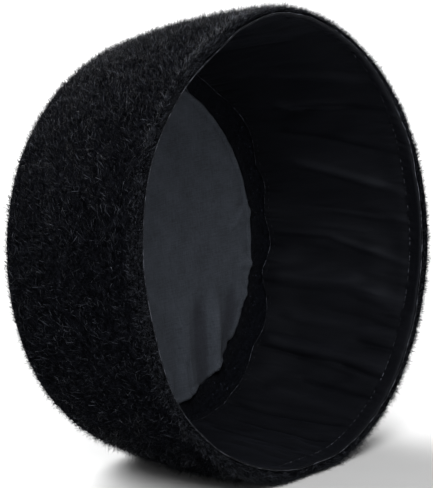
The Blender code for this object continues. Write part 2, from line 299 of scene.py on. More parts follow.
# How the side lining comes down to the hem and is tucked under it
HEM_SEAT_INSET = 1.0
HEM_SEAT_REACH = 20.0
HEM_SEAT_RELIEF = 0.35
HEM_TUCK = 0.8
HEM_TUCK_SUNK = 0.6
HEM_TUCK_REACH = 2.4

# The thread along the lining's wavy edge, and the row of stitches beside it
EDGE_LINE_RADIUS = 0.1
EDGE_LINE_SIDES = 5
EDGE_LINE_SUNK = 0.1
EDGE_LINE_WANDER = 0.15
EDGE_LINE_WANDER_SIZE = 5.0
EDGE_ROW_INSET = 1.9
EDGE_ROW_PITCH = 3.3
EDGE_ROW_LENGTH = 1.4
EDGE_ROW_RADIUS = 0.1
EDGE_ROW_SUNK = 0.2
EDGE_ROW_TONE = 0.35

# Fuzzy band: its lumps and its loose fibres
SEAM_LUMP_SIZE = 3.0
SEAM_LUMP_HEIGHT = 0.16
SEAM_FIBRES = 2600
SEAM_FIBRE_FACING = 0.2
SEAM_FIBRE_LIFT = 0.35
SEAM_FIBRE_STRAY = 0.6
SEAM_FIBRE_LENGTHS = (0.6, 1.6)
SEAM_FIBRE_BEND = 0.5
SEAM_FIBRE_ROOT = 0.2
SEAM_FIBRE_RADIUS = 0.045
SEAM_FIBRE_STOPS = (0.5,)
SEAM_FIBRE_TONE = 3.0

# Crown lining: its disc, the ripples near its edge, and the wave and turn of the edge
CROWN_LINING_RADIUS = 71.4
CROWN_LINING_THICKNESS = 1.0
CROWN_FRONT_DEPTH = 77.3
CROWN_DOME = 1.5
CROWN_FLAT_RADIUS = 76.3
CROWN_RING_CROWDING = 0.8
CROWN_TURN_OUT = 0.1
CROWN_TURN_DOWN = 0.6
CROWN_EDGE_WAVE = 0.005
CROWN_EDGE_WAVE_SIZE = 9.0
CROWN_EDGE_WAVE_RADIUS = 70.0
CROWN_EDGE_FROM = 0.88
CROWN_RIPPLE_SIZE = 5.0
CROWN_RIPPLE_HEIGHT = 0.35
CROWN_RIPPLE_FROM = 50.0
CROWN_RIPPLE_EASE = 20.0
CROWN_SWELL_SIZE = 24.0
CROWN_SWELL_HEIGHT = 0.25

# Folds of the crown lining. Columns: x and y where it starts, x and y where it meets the edge, half
# width, height
CROWN_FOLDS = [
    (21.0, -26.0, 18.0, -66.0, 7.0, 2.2),
    (33.0, -24.0, 29.5, -64.0, 6.0, -2.2),
    (44.5, -22.0, 37.5, -61.0, 5.6, 2.5),
    (57.0, -24.0, 45.0, -57.0, 4.6, -2.2),
    (18.7, -50.0, 18.7, -66.0, 1.5, -1.6),
    (28.8, -50.0, 28.2, -63.0, 1.4, -1.76),
    (36.8, -51.0, 35.7, -59.0, 1.3, -1.44),
    (54.0, -6.0, 70.5, 3.5, 4.6, 1.76),
    (56.9, -7.3, 67.5, 1.8, 2.6, -1.2),
    (58.0, -18.0, 68.5, -20.5, 3.0, 1.12),
    (58.5, -27.0, 63.0, -33.0, 2.6, 1.12),
    (8.0, -52.0, 6.0, -69.0, 4.0, 1.6),
    (-20.0, -48.0, -24.0, -66.0, 5.0, 1.6),
    (-52.0, 20.0, -66.0, 26.0, 6.0, 1.6),
]
CROWN_FOLD_EASE = 0.45
CROWN_LOWEST = 0.8
CROWN_HEM_RADIUS = 68.6
CROWN_HEM_GROOVE = 0.45
CROWN_HEM_HALF_WIDTH = 1.1
CROWN_HEM_RISE = 0.8
CROWN_HEM_RISE_ASIDE = 1.3

# Small notches in the edge of the crown lining. Columns: angle, half width in degrees, how deep
EDGE_NOTCHES = [
    (-21.6, 1.2, 0.88),
    (-33.8, 1.4, 1.2),
    (-46.5, 1.4, 1.7),
    (-56.5, 1.5, 2.0),
    (-68.5, 1.4, 1.5),
]

# Camera: where it stands and looks, for a picture 433 pixels wide and 488 high
CAMERA_PLACE = (-1.13956, -0.92168, 0.43393)
CAMERA_AZIMUTH = math.radians(-51.0949)
CAMERA_ELEVATION = math.radians(13.2093)
CAMERA_LENS = 268.008
CAMERA_SENSOR = 36.0
CAMERA_CLIP = (0.05, 20.0)

# Floor: its radius, the sweep up to the backdrop, and the backdrop's height
FLOOR_STEPS = 96
FLOOR_NEAR = 1500.0
FLOOR_RADIUS = 3600.0
SWEEP_RADIUS = 700.0
SWEEP_ROWS = 8
BACKDROP_HEIGHT = 2200.0

# Lights: azimuth, elevation, distance in metres and size in metres, all turned to one place
LIGHTS_LOOK_AT = (0.0, 0.0, 0.095)
KEY_LIGHT = (-55.0, 45.0, 1.8, 0.9)
BACK_LIGHT = (165.0, 40.0, 1.8, 1.2)

# Material values: tints as RGBA, a thread's least height, a slub's height, and wave texture scale for
# one thread in each unit of length
WHITE = (1.0, 1.0, 1.0, 1.0)
COOL_TINT = (0.8, 0.87, 1.0, 1.0)
SHEEN_TINT = (0.55, 0.62, 0.85, 1.0)
THREAD_LEAST = 0.35
SLUB_HEIGHT = 1.5
WAVE_SCALE = math.pi / 10.0

# Numbers of the Mix node's sockets for colours: factor and the two colours, and the result
MIX_INPUTS = (0, 6, 7)
MIX_RESULT = 2

# Tones of the materials. Columns: place on a ramp from 0 to 1, how light against the own colour
PILE_TONES = [(0.15, 0.3), (0.25, 1.0), (0.4, 3.5)]
SATIN_TONES = [(0.3, 0.62), (0.55, 1.0), (0.75, 1.5)]
WEAVE_TONES = [(0.38, 0.66), (0.5, 1.0), (0.62, 1.36)]
KNIT_TONES = [(0.12, 0.45), (0.4, 1.8)]
THREAD_TONES = [(0.4, 0.25), (0.5, 0.7), (0.6, 2.9)]
FLOOR_TONES = [(0.3, 0.985), (0.7, 1.0)]

# Single tones: how light against the own colour, and where the light part of the hairs starts. That
# light part is partly the hairs' paler tone, partly painted highlight for glints
HAIR_MIDDLE_TONE = 2.4
HAIR_LIGHT_TONE = 0.35
HAIR_LIGHT_FROM = 0.4
LINT_TONE = 1.9
SPECK_TONE = 9.0

# Ramps of grey. Columns: place on a ramp from 0 to 1, value
# Painted shade deep in the pile: each hair darker towards its root
HAIR_ROOT_SHADE = [(0.0, 0.25), (0.7, 1.0)]
SATIN_GROOVES = [(0.0, 0.72), (1.0, 1.0)]
SATIN_ROUGHNESS = [(0.3, 0.54), (0.7, 0.38)]
LINT_SPECKS = [(0.74, 0.0), (0.82, 1.0)]
KNIT_SPECKS = [(0.71, 0.0), (0.78, 1.0)]

# Ramps of colour: painted shade in the hollows of folds, with painted light on the weave's crests, and
# the weave's dark gaps. Columns: place on a ramp from 0 to 1, RGBA
SATIN_FOLD_SHADE = [
    (0.2, (0.4, 0.4, 0.42, 1.0)),
    (0.5, (0.74, 0.74, 0.74, 1.0)),
    (0.85, WHITE),
]
WEAVE_FOLD_SHADE_AND_LIGHT = [
    (0.22, (0.62, 0.6, 0.62, 1.0)),
    (0.4, (0.97, 0.97, 0.97, 1.0)),
    (0.9, (1.1, 1.1, 1.1, 1.0)),
]
WEAVE_GAPS = [
    (0.1, (0.6, 0.6, 0.62, 1.0)),
    (1.0, WHITE),
]


class CapFurSettings(bpy.types.PropertyGroup):
    """Size and colour of the fur."""

    pile_length: FloatProperty(
        name="Pile length",
        description="Mean length of the short hairs",
        default=3.0 * MM,
        min=0.5 * MM,
        subtype="DISTANCE",
    )
    hair_width: FloatProperty(
        name="Hair width",
        description="Width of a tuft of hairs at its root",
        default=0.15 * MM,
        min=0.02 * MM,
        subtype="DISTANCE",
    )
    side_hairs: IntProperty(
        name="Side hairs",
        description="Short hairs on each third of the side band",
        default=38000,
        min=100,
    )
    crown_hairs: IntProperty(
        name="Crown hairs",
        description="Short hairs on the crown",
        default=24000,
        min=100,
    )
    rim_hairs: IntProperty(
        name="Rim hairs",
        description="More short hairs along the rim, where the pile stands up",
        default=15000,
        min=10,
    )
    long_hairs: IntProperty(
        name="Long hairs",
        description="Long curled hairs all over",
        default=7000,
        min=10,
    )
    root_colour: FloatVectorProperty(
        name="Root colour",
        description="Colour of the fur deep in the pile",
        default=(0.0025, 0.0027, 0.0036),
        subtype="COLOR",
    )
    # The lightest hairs' colour: partly their own paler tone, partly painted highlight for glints on
    # glossy black hair
    tip_and_glint_colour: FloatVectorProperty(
        name="Tip colour",
        description="Colour of the lightest hairs at their tips",
        default=(0.12, 0.13, 0.16),
        subtype="COLOR",
    )


class CapClothSettings(bpy.types.PropertyGroup):
    """Colours of the linings and threads."""

    satin_colour: FloatVectorProperty(
        name="Satin colour",
        description="Colour of the satin lining and hem",
        default=(0.0078, 0.0083, 0.0108),
        subtype="COLOR",
    )
    weave_colour: FloatVectorProperty(
        name="Weave colour",
        description="Colour of the woven crown lining",
        default=(0.073, 0.083, 0.101),
        subtype="COLOR",
    )
    knit_colour: FloatVectorProperty(
        name="Knit colour",
        description="Colour of the fuzzy band between the linings",
        default=(0.0029, 0.0033, 0.0048),
        subtype="COLOR",
    )
    thread_colour: FloatVectorProperty(
        name="Thread colour",
        description="Colour of the stitches",
        default=(0.030, 0.032, 0.040),
        subtype="COLOR",
    )
    # The rim line's colour is painted highlight, for light caught along the satin's fold at the rim
    fold_highlight_colour: FloatVectorProperty(
        name="Fold line colour",
        description="Colour of the pale folded line at the rim",
        default=(0.045, 0.048, 0.057),
        subtype="COLOR",
    )


class CapStageSettings(bpy.types.PropertyGroup):
    """Floor and lights."""

    floor_colour: FloatVectorProperty(
        name="Floor colour",
        description="Colour of the floor and backdrop",
        default=(0.72, 0.72, 0.72),
        subtype="COLOR",
    )
    key_power: FloatProperty(
        name="Key light",
        description="Power of the soft light above and to the left",
        default=25.0,
        min=0.0,
        subtype="POWER",
    )
    back_power: FloatProperty(
        name="Back light",
        description="Power of the soft light behind the cap, which grazes the fur on top",
        default=66.0,
        min=0.0,
        subtype="POWER",
    )
    fill_strength: FloatProperty(
        name="Fill",
        description="Strength of the pale surroundings",
        default=0.3,
        min=0.0,
    )


def ease(share):
    """Ease an array from 0 to 1 as share does."""
    share = np.clip(share, 0.0, 1.0)
    return share * share * (3.0 - 2.0 * share)


def ridge(distance):
    """1 on the line of a soft fold, 0 from distance 1 on."""
    return ease(1.0 - np.abs(distance))


def crease(distance):
    """1 on the sharp line of a crease, 0 from distance 1 on."""
    return np.clip(1.0 - np.abs(distance), 0.0, 1.0) ** 2


def turn_between(angle, other):
    """The turn from one angle to another, from -180 to 180 degrees."""
    return (angle - other + 180.0) % 360.0 - 180.0


def around(angle):
    """Unit vectors out from the cap's axis at each angle, in its flat plane."""
    turn = np.radians(angle)
    return np.stack([np.cos(turn), np.sin(turn), np.zeros_like(turn)], axis=-1)


def round_points(angle, radius, height):
    """Points at each angle, radius and height."""
    points = around(angle) * radius[:, None]
    points[:, 2] = height
    return points


def noise_at(points, size, octaves=1):
    """Smooth noise from about -1 to 1 at each point, with features of a size."""
    values = np.zeros(len(points))
    for octave in range(octaves):
        scale = 2.0**octave / size
        values += [noise.noise(Vector(point) * scale) / 2.0**octave for point in points]
    return values


def cad_body(node):
    """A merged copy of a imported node, standing on its crown, in millimetres."""
    bm = bmesh.new()
    bm.from_mesh(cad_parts[node].data)
    bmesh.ops.transform(bm, matrix=STAND_UP, verts=bm.verts)
    bmesh.ops.remove_doubles(bm, verts=bm.verts, dist=MERGE_DISTANCE)
    bm.normal_update()
    return bm


class CadFace:
    """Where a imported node's face is, seen from the cap's axis."""

    def __init__(self, node):
        bm = cad_body(node)
        self.tree = BVHTree.FromBMesh(bm)
        bm.free()

    def radius(self, angle, depth):
        """Distance from the axis to the face, or None where the node doesn't reach."""
        ray = Vector((math.cos(math.radians(angle)), math.sin(math.radians(angle)), 0.0))
        return self.tree.ray_cast(Vector((0.0, 0.0, -depth)), ray)[3]

    def radii(self, angles, depths):
        """The radius at each pair of angle and depth; a miss takes the last radius found."""
        found = []
        last = CAP_RADIUS
        for angle, depth in zip(angles, depths):
            last = self.radius(angle, depth) or last
            found.append(last)
        return np.array(found)

    def edge(self, angles, search, last):
        """Depth of the node's first or last hit in the search, at each angle."""
        depths = np.arange(*search, SEARCH_STEP)
        order = depths[::-1] if last else depths
        found = []
        for angle in angles:
            hit = next((depth for depth in order if self.radius(angle, depth)), order[-1])
            found.append(hit)
        return np.array(found)


def softened(values, passes):
    """Smooth values round the cap."""
    for _ in range(passes):
        values = (np.roll(values, 1, 0) + 2.0 * values + np.roll(values, -1, 0)) / 4.0
    return values


def softened_rows(values, passes):
    """Smooth a grid of values along its rows, ends kept."""
    for _ in range(passes):
        middle = (values[:, :-2] + 2.0 * values[:, 1:-1] + values[:, 2:]) / 4.0
        values = np.concatenate([values[:, :1], middle, values[:, -1:]], axis=1)
    return values


def spun(section, steps, closed=False):
    """Spin a section of (radius, height) points round the cap's axis."""
    bm = bmesh.new()
    verts = [bm.verts.new((radius, 0.0, height)) for radius, height in section]
    pairs = list(zip(verts, verts[1:]))
    if closed:
        pairs.append((verts[-1], verts[0]))
    edges = [bm.edges.new(pair) for pair in pairs]
    bmesh.ops.spin(
        bm,
        geom=verts + edges,
        cent=(0.0, 0.0, 0.0),
        axis=(0.0, 0.0, 1.0),
        angle=math.tau,
        steps=steps,
        use_merge=True,
    )
    bmesh.ops.remove_doubles(bm, verts=bm.verts, dist=SPUN_MERGE_DISTANCE)
    bmesh.ops.recalc_face_normals(bm, faces=bm.faces)
    return bm


def positions(bm):
    """The places of all the verts, as an array."""
    return np.array([vert.co for vert in bm.verts])


def move_to(bm, points):
    """Put each vert at its row of an array."""
    for vert, point in zip(bm.verts, points):
        vert.co = point
    bm.normal_update()


def angles_of(points):
    """The angle of each point round the cap."""
    return np.degrees(np.arctan2(points[:, 1], points[:, 0]))


def map_round(bm, run, turn):
    """Lay out the cloth map in centimetres: round the cap, which is turn long, and run along it."""
    layer = bm.loops.layers.uv.new("cloth_map")
    bm.verts.ensure_lookup_table()
    way = angles_of(positions(bm)) / 360.0 * turn
    for face in bm.faces:
        ways = [way[loop.vert.index] for loop in face.loops]
        split = max(ways) - min(ways) > turn / 2.0
        for loop, place in zip(face.loops, ways):
            place += turn if split and place < 0.0 else 0.0
            loop[layer].uv = (place / CM, run[loop.vert.index] / CM)


def add_values(bm, name, values):
    """Keep a value on each vert, for the material."""
    layer = bm.verts.layers.float.new(name)
    for vert, value in zip(bm.verts, values):
        vert[layer] = value


def map_flat(bm):
    """Lay out the cloth map in centimetres, straight down on the crown."""
    layer = bm.loops.layers.uv.new("cloth_map")
    for face in bm.faces:
        for loop in face.loops:
            loop[layer].uv = (loop.vert.co.x / CM, loop.vert.co.y / CM)


def face_towards(bm, inward):
    """Turn an open sheet's faces to the axis if inward, or else out of the opening."""
    face = next(iter(bm.faces))
    middle = face.calc_center_median()
    wanted = Vector((-middle.x, -middle.y, 0.0)) if inward else Vector((0.0, 0.0, 1.0))
    if face.normal.dot(wanted) < 0.0:
        bmesh.ops.reverse_faces(bm, faces=bm.faces)


def add_piece(bm, name, material, replaces=()):
    """Lay a body down as a named piece that rides on the cap."""
    bmesh.ops.transform(bm, matrix=LAY_DOWN, verts=bm.verts)
    mesh = bpy.data.meshes.new(name)
    bm.to_mesh(mesh)
    bm.free()
    return add_mesh(mesh, name, material, replaces)


def add_mesh(mesh, name, material, replaces=()):
    """Show a mesh, already in its place, as a piece that rides on the cap."""
    mesh.shade_smooth()
    mesh.materials.append(material)
    piece = bpy.data.objects.new(name, mesh)
    bpy.context.collection.objects.link(piece)
    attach(piece, "root")
    if replaces:
        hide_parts(*replaces)
    return piece


def thicken(piece, thickness):
    """Give an open sheet its thickness, behind the face that shows."""
    solidify = piece.modifiers.new("thickness", "SOLIDIFY")
    solidify.thickness = thickness * MM
    solidify.offset = -1.0


def strand_shape(sides, stops):
    """A strand of length 1 along Z, widest at its stops, closed to a point at both ends."""
    bm = bmesh.new()
    ring = bmesh.ops.create_circle(bm, segments=sides, radius=1.0)["verts"]
    bmesh.ops.translate(bm, vec=(0.0, 0.0, stops[0]), verts=ring)
    first = ring
    for stop, previous in zip(stops[1:], stops):
        edges = {edge for vert in ring for edge in vert.link_edges if edge.other_vert(vert) in ring}
        made = bmesh.ops.extrude_edge_only(bm, edges=list(edges))["geom"]
        ring = [item for item in made if isinstance(item, bmesh.types.BMVert)]
        bmesh.ops.translate(bm, vec=(0.0, 0.0, stop - previous), verts=ring)
    for end, height in ((first, 0.0), (ring, 1.0)):
        close_to_point(bm, end, height)
    bmesh.ops.recalc_face_normals(bm, faces=bm.faces)
    bmesh.ops.triangulate(bm, faces=bm.faces)
    return bm


def spike_shape():
    """A straight hair of length 1 along Z, widest at its root: three sides and a closed root."""
    bm = bmesh.new()
    bmesh.ops.create_cone(bm, cap_ends=True, segments=HAIR_SIDES, radius1=1.0, depth=1.0)
    bmesh.ops.translate(bm, vec=(0.0, 0.0, 0.5), verts=bm.verts)
    return bm


def close_to_point(bm, ring, height):
    """Close a ring with a fan to a point on the Z axis."""
    edges = {edge for vert in ring for edge in vert.link_edges if edge.other_vert(vert) in ring}
    made = bmesh.ops.extrude_edge_only(bm, edges=list(edges))["geom"]
    tips = [item for item in made if isinstance(item, bmesh.types.BMVert)]
    bmesh.ops.pointmerge(bm, verts=tips, merge_co=(0.0, 0.0, height))


def lay_strands(name, shape, roots, runs, bends, widths, shades):
    """Join many strands in one mesh. Each starts at its root, goes along its run and bends aside."""
    local = positions(shape)
    corners = np.array([[vert.index for vert in face.verts] for face in shape.faces])
    shape.free()
    count = len(roots)
    along = runs / np.linalg.norm(runs, axis=1, keepdims=True)
    helper = np.where(np.abs(along[:, 2:]) < STEEP, [[0.0, 0.0, 1.0]], [[1.0, 0.0, 0.0]])
    across = np.cross(along, helper)
    across /= np.linalg.norm(across, axis=1, keepdims=True)
    other = np.cross(along, across)
    reach = local[:, 2]
    points = roots[:, None] + runs[:, None] * reach[None, :, None]
    points += bends[:, None] * (reach**2)[None, :, None]
    points += across[:, None] * (widths[:, None] * local[:, 0])[:, :, None]
    points += other[:, None] * (widths[:, None] * local[:, 1])[:, :, None]
    points = points.reshape(-1, 3) @ np.array(LAY_DOWN.to_3x3()).T + np.array(LAY_DOWN.translation)
    points[:, 2] = np.maximum(points[:, 2], FLOOR_CLEARANCE * MM)
    faces = (corners[None] + (np.arange(count) * len(local))[:, None, None]).reshape(-1, 3)
    mesh = bpy.data.meshes.new(name)
    mesh.vertices.add(len(points))
    mesh.vertices.foreach_set("co", points.ravel())
    mesh.loops.add(faces.size)
    mesh.loops.foreach_set("vertex_index", faces.ravel())
    mesh.polygons.add(len(faces))
    mesh.polygons.foreach_set("loop_start", np.arange(len(faces)) * 3)
    mesh.update(calc_edges=True)
    kept = {"shade": np.repeat(shades, len(local)), "reach": np.tile(reach, count)}
    for attribute, values in kept.items():
        mesh.attributes.new(attribute, "FLOAT", "POINT").data.foreach_set("value", values)
    return mesh


def outer_places(node, keep, count, rng):
    """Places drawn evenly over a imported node's outer face, with the normal there."""
    bm = cad_body(node)
    bmesh.ops.triangulate(bm, faces=bm.faces)
    corners, normals = [], []
    for face in bm.faces:
        if keep(face.calc_center_median(), face.normal):
            corners.append([vert.co[:] for vert in face.verts])
            normals.append([vert.normal[:] for vert in face.verts])
    bm.free()
    corners, normals = np.array(corners), np.array(normals)
    sides = np.cross(corners[:, 1] - corners[:, 0], corners[:, 2] - corners[:, 0])
    areas = np.linalg.norm(sides, axis=1)
    chosen = rng.choice(len(areas), size=count, p=areas / areas.sum())
    first, second = rng.random(count), rng.random(count)
    folded = first + second > 1.0
    first[folded] = 1.0 - first[folded]
    second[folded] = 1.0 - second[folded]
    weights = np.stack([1.0 - first - second, first, second], axis=1)[:, :, None]
    places = (corners[chosen] * weights).sum(axis=1)
    ups = (normals[chosen] * weights).sum(axis=1)
    return places, ups / np.linalg.norm(ups, axis=1, keepdims=True)


def on_side(middle, normal):
    """True on the outer face of the side band and on the lip at its rim."""
    out = Vector((middle.x, middle.y, 0.0)).normalized()
    if middle.z > -LIP_REACH and normal.z > LIP_FACING:
        return True
    return normal.dot(out) > SIDE_FACING and normal.z < LIP_FACING


def on_rim(middle, normal):
    """True on the part of the side band's outer face that is beside the rim."""
    return middle.z > -RIM_HAIRS_REACH * LIP_REACH and on_side(middle, normal)


def on_crown(_middle, normal):
    """True on the outer face of the crown."""
    return normal.z < CROWN_FACING


def patches(places, size, field):
    """A smooth field of vectors that turns from patch to patch of the fur."""
    noise.seed_set(PATCH_SEED)
    shift = Vector(PATCH_SHIFT) * field
    return np.array([noise.noise_vector(Vector(place) / size + shift) for place in places])


def hair_field(places, ups, rng):
    """The way that each hair grows: out of the cloth and brushed up, in patches, with strays."""
    drift = BROAD_PATCH_PULL * patches(places, BROAD_PATCH_SIZE, field=1)
    drift += FINE_PATCH_PULL * patches(places, FINE_PATCH_SIZE, field=2)
    stray = rng.normal(0.0, STRAY_PULL, places.shape)
    out = places * [1.0, 1.0, 0.0] / CAP_RADIUS
    comb = np.array([COMB_WAY])
    ways = HAIR_UP * ups + COMB_PULL * comb + drift + stray
    ways += (LIP_OUT_PULL * out - LIP_COMB_LOSS * comb) * on_lip(places, ups)[:, None]
    ways += out * leaning_in(places, ups)[:, None]
    lift = (ways * ups).sum(axis=1, keepdims=True)
    ways += ups * (np.maximum(lift, LEAST_LIFT) - lift)
    return ways / np.linalg.norm(ways, axis=1, keepdims=True)


def on_lip(places, ups):
    """1 on the lip at the rim, 0 on the rest of the fur."""
    return ease(ups[:, 2] * LIP_SLOPE) * (places[:, 2] > -LIP_REACH)


def leaning_in(places, ups):
    """How much the cloth faces the axis: above 0 only on the inner edge of the lip."""
    return np.clip(-(ups * places)[:, :2].sum(axis=1) / CAP_RADIUS, 0.0, 1.0)


def lip_fullness(angle, depth):
    """How far the rim's lip swells inwards, on the side of the cap where it is fuller."""
    side = ease((LIP_FULL_HALF - np.abs(turn_between(angle, LIP_FULL_MIDDLE))) / LIP_FULL_EASE)
    return LIP_FULLNESS * side * ease(1.0 - depth / LIP_FULL_DEPTH)


def with_full_lip(points):
    """Move points of the fur cloth inwards by the fullness of the lip, but not its outer face."""
    angle = angles_of(points)
    inner = ease((LIP_FULL_RADIUS - np.linalg.norm(points[:, :2], axis=1)) / LIP_FULL_WIDTH)
    return points - around(angle) * (lip_fullness(angle, -points[:, 2]) * inner)[:, None]


def length_kept(places, ups):
    """How much of its length a hair keeps: less on the lip, and least beside the rim line."""
    return 1.0 - LIP_SHEARED * on_lip(places, ups) - LINE_SHEARED * leaning_in(places, ups)


def pile_depth(places, ups):
    """How deep the backing lies under the tips: hardly at all beside the rim line."""
    near_rim = np.clip(-places[:, 2] / LIP_REACH, 0.0, 1.0)
    return PILE_DEPTH * (1.0 - (1.0 - near_rim) * on_lip(places, ups))


def new_material(name, colour, roughness, specular, sheen=0.0):
    """A material with its tree and Principled shader."""
    material = bpy.data.materials.new(name)
    material.use_nodes = True
    tree = material.node_tree
    shader = tree.nodes["Principled BSDF"]
    shader.inputs["Base Color"].default_value = (*colour, 1.0)
    shader.inputs["Roughness"].default_value = roughness
    shader.inputs["Sheen Weight"].default_value = sheen
    shader.inputs["Specular IOR Level"].default_value = specular
    shader.inputs["Specular Tint"].default_value = COOL_TINT
    material.diffuse_color = (*colour, 1.0)
    return material, tree, shader


def tinted(colour, factor):
    """A colour made lighter or darker, as RGBA."""
    return (*[channel * factor for channel in colour], 1.0)


def toned(colour, tones):
    """Stops of a ramp from rows of a place and how light the colour is there."""
    return [(place, tinted(colour, factor)) for place, factor in tones]


def greys(values):
    """Stops of a ramp from rows of a place and a value."""
    return [(place, (value, value, value, 1.0)) for place, value in values]


def colour_ramp(tree, factor, stops):
    """A ramp from a factor through (place, RGBA) stops; returns its colour."""
    ramp = tree.nodes.new("ShaderNodeValToRGB")
    while len(ramp.color_ramp.elements) < len(stops):
        ramp.color_ramp.elements.new(0.5)
    for element, (place, colour) in zip(ramp.color_ramp.elements, stops):
        element.position = place
        element.color = colour
    tree.links.new(factor, ramp.inputs["Fac"])
    return ramp.outputs["Color"]


def math_node(tree, operation, first, second):
    """The result of two values, each a socket or a number."""
    node = tree.nodes.new("ShaderNodeMath")
    node.operation = operation
    for socket, value in zip(node.inputs, (first, second)):
        if isinstance(value, (int, float)):
            socket.default_value = value
        else:
            tree.links.new(value, socket)
    return node.outputs["Value"]


def mixed(tree, blend, factor, first, second):
    """Two colours mixed; each is a socket or RGBA, and the factor a socket or a number."""
    node = tree.nodes.new("ShaderNodeMix")
    node.data_type = "RGBA"
    node.blend_type = blend
    for number, value in zip(MIX_INPUTS, (factor, first, second)):
        if isinstance(value, bpy.types.NodeSocket):
            tree.links.new(value, node.inputs[number])
        else:
            node.inputs[number].default_value = value
    return node.outputs[MIX_RESULT]


def attribute_value(tree, name):
    """A value that the mesh keeps on its verts."""
    node = tree.nodes.new("ShaderNodeAttribute")
    node.attribute_name = name
    return node.outputs["Fac"]


def weighed(tree, first, second, share):
    """Two values in one: a share of the first, and the second for the rest."""
    part = math_node(tree, "MULTIPLY", first, share)
    rest = math_node(tree, "MULTIPLY", second, 1.0 - share)
    return math_node(tree, "ADD", part, rest)


def fold_value(tree, height, middle):
    """The fold that the mesh keeps, by a height for each millimetre, about a middle."""
    fold = math_node(tree, "MULTIPLY", attribute_value(tree, "fold"), height)
    return math_node(tree, "ADD", fold, middle)


def cloth_map(tree, scale=(1.0, 1.0, 1.0)):
    """The cloth map in centimetres, stretched by a scale."""
    uv = tree.nodes.new("ShaderNodeUVMap")
    uv.uv_map = "cloth_map"
    mapping = tree.nodes.new("ShaderNodeMapping")
    mapping.inputs["Scale"].default_value = scale
    tree.links.new(uv.outputs["UV"], mapping.inputs["Vector"])
    return mapping.outputs["Vector"]


def object_place(tree, scale=(1.0, 1.0, 1.0)):
    """Object coordinates in metres, stretched by a scale."""
    coordinates = tree.nodes.new("ShaderNodeTexCoord")
    mapping = tree.nodes.new("ShaderNodeMapping")
    mapping.inputs["Scale"].default_value = scale
    tree.links.new(coordinates.outputs["Object"], mapping.inputs["Vector"])
    return mapping.outputs["Vector"]


def noise_texture(tree, vector, scale, detail, roughness):
    """Noise read at a vector."""
    node = tree.nodes.new("ShaderNodeTexNoise")
    node.inputs["Scale"].default_value = scale
    node.inputs["Detail"].default_value = detail
    node.inputs["Roughness"].default_value = roughness
    tree.links.new(vector, node.inputs["Vector"])
    return node.outputs["Fac"]


def threads(tree, vector, direction, pitch, distortion):
    """Parallel threads across a direction, with a pitch in centimetres."""
    node = tree.nodes.new("ShaderNodeTexWave")
    node.wave_type = "BANDS"
    node.bands_direction = direction
    node.inputs["Scale"].default_value = WAVE_SCALE / pitch
    node.inputs["Distortion"].default_value = distortion
    node.inputs["Detail"].default_value = 1.0
    tree.links.new(vector, node.inputs["Vector"])
    return node.outputs["Fac"]


def bump_from(tree, shader, height, distance):
    """Bump the shader by a height of up to a distance in metres."""
    bump = tree.nodes.new("ShaderNodeBump")
    bump.inputs["Strength"].default_value = 1.0
    bump.inputs["Distance"].default_value = distance
    tree.links.new(height, bump.inputs["Height"])
    tree.links.new(bump.outputs["Normal"], shader.inputs["Normal"])


def pile_material(settings):
    """The dense dark pile that shows between the hairs."""
    colour = settings.root_colour
    material, tree, shader = new_material("black_pile", colour, roughness=0.9, specular=0.0)
    clumps = noise_texture(tree, object_place(tree), scale=320.0, detail=3.0, roughness=0.6)
    upward = object_place(tree, scale=(1.0, 1.0, 0.35))
    grain = noise_texture(tree, upward, scale=2100.0, detail=2.0, roughness=0.6)
    both = math_node(tree, "MULTIPLY", clumps, grain)
    ramp = colour_ramp(tree, both, toned(colour, PILE_TONES))
    tree.links.new(ramp, shader.inputs["Base Color"])
    bump_from(tree, shader, both, distance=0.8 * MM)
    return material


def hair_material(name, settings, light_share, roughness, specular):
    """Hair: dark at the root and lighter along its length, which is painted shade deep in the pile;
    each strand has its own tone, and the lightest are partly painted highlight.
    """
    root, tip = settings.root_colour, settings.tip_and_glint_colour
    material, tree, shader = new_material(name, root, roughness, specular)
    # the light end of this ramp is partly painted highlight: pale hairs that stand in for glints on
    # glossy black hair
    stops = [
        (0.0, tinted(root, 1.0)),
        (1.0 - light_share, tinted(root, HAIR_MIDDLE_TONE)),
        (1.0 - HAIR_LIGHT_FROM * light_share, tinted(tip, HAIR_LIGHT_TONE)),
        (1.0, tinted(tip, 1.0)),
    ]
    own = colour_ramp(tree, attribute_value(tree, "shade"), stops)
    # painted shade: each strand darker towards its root, deep in the pile
    depth = colour_ramp(tree, attribute_value(tree, "reach"), greys(HAIR_ROOT_SHADE))
    tree.links.new(mixed(tree, "MULTIPLY", 1.0, own, depth), shader.inputs["Base Color"])
    return material


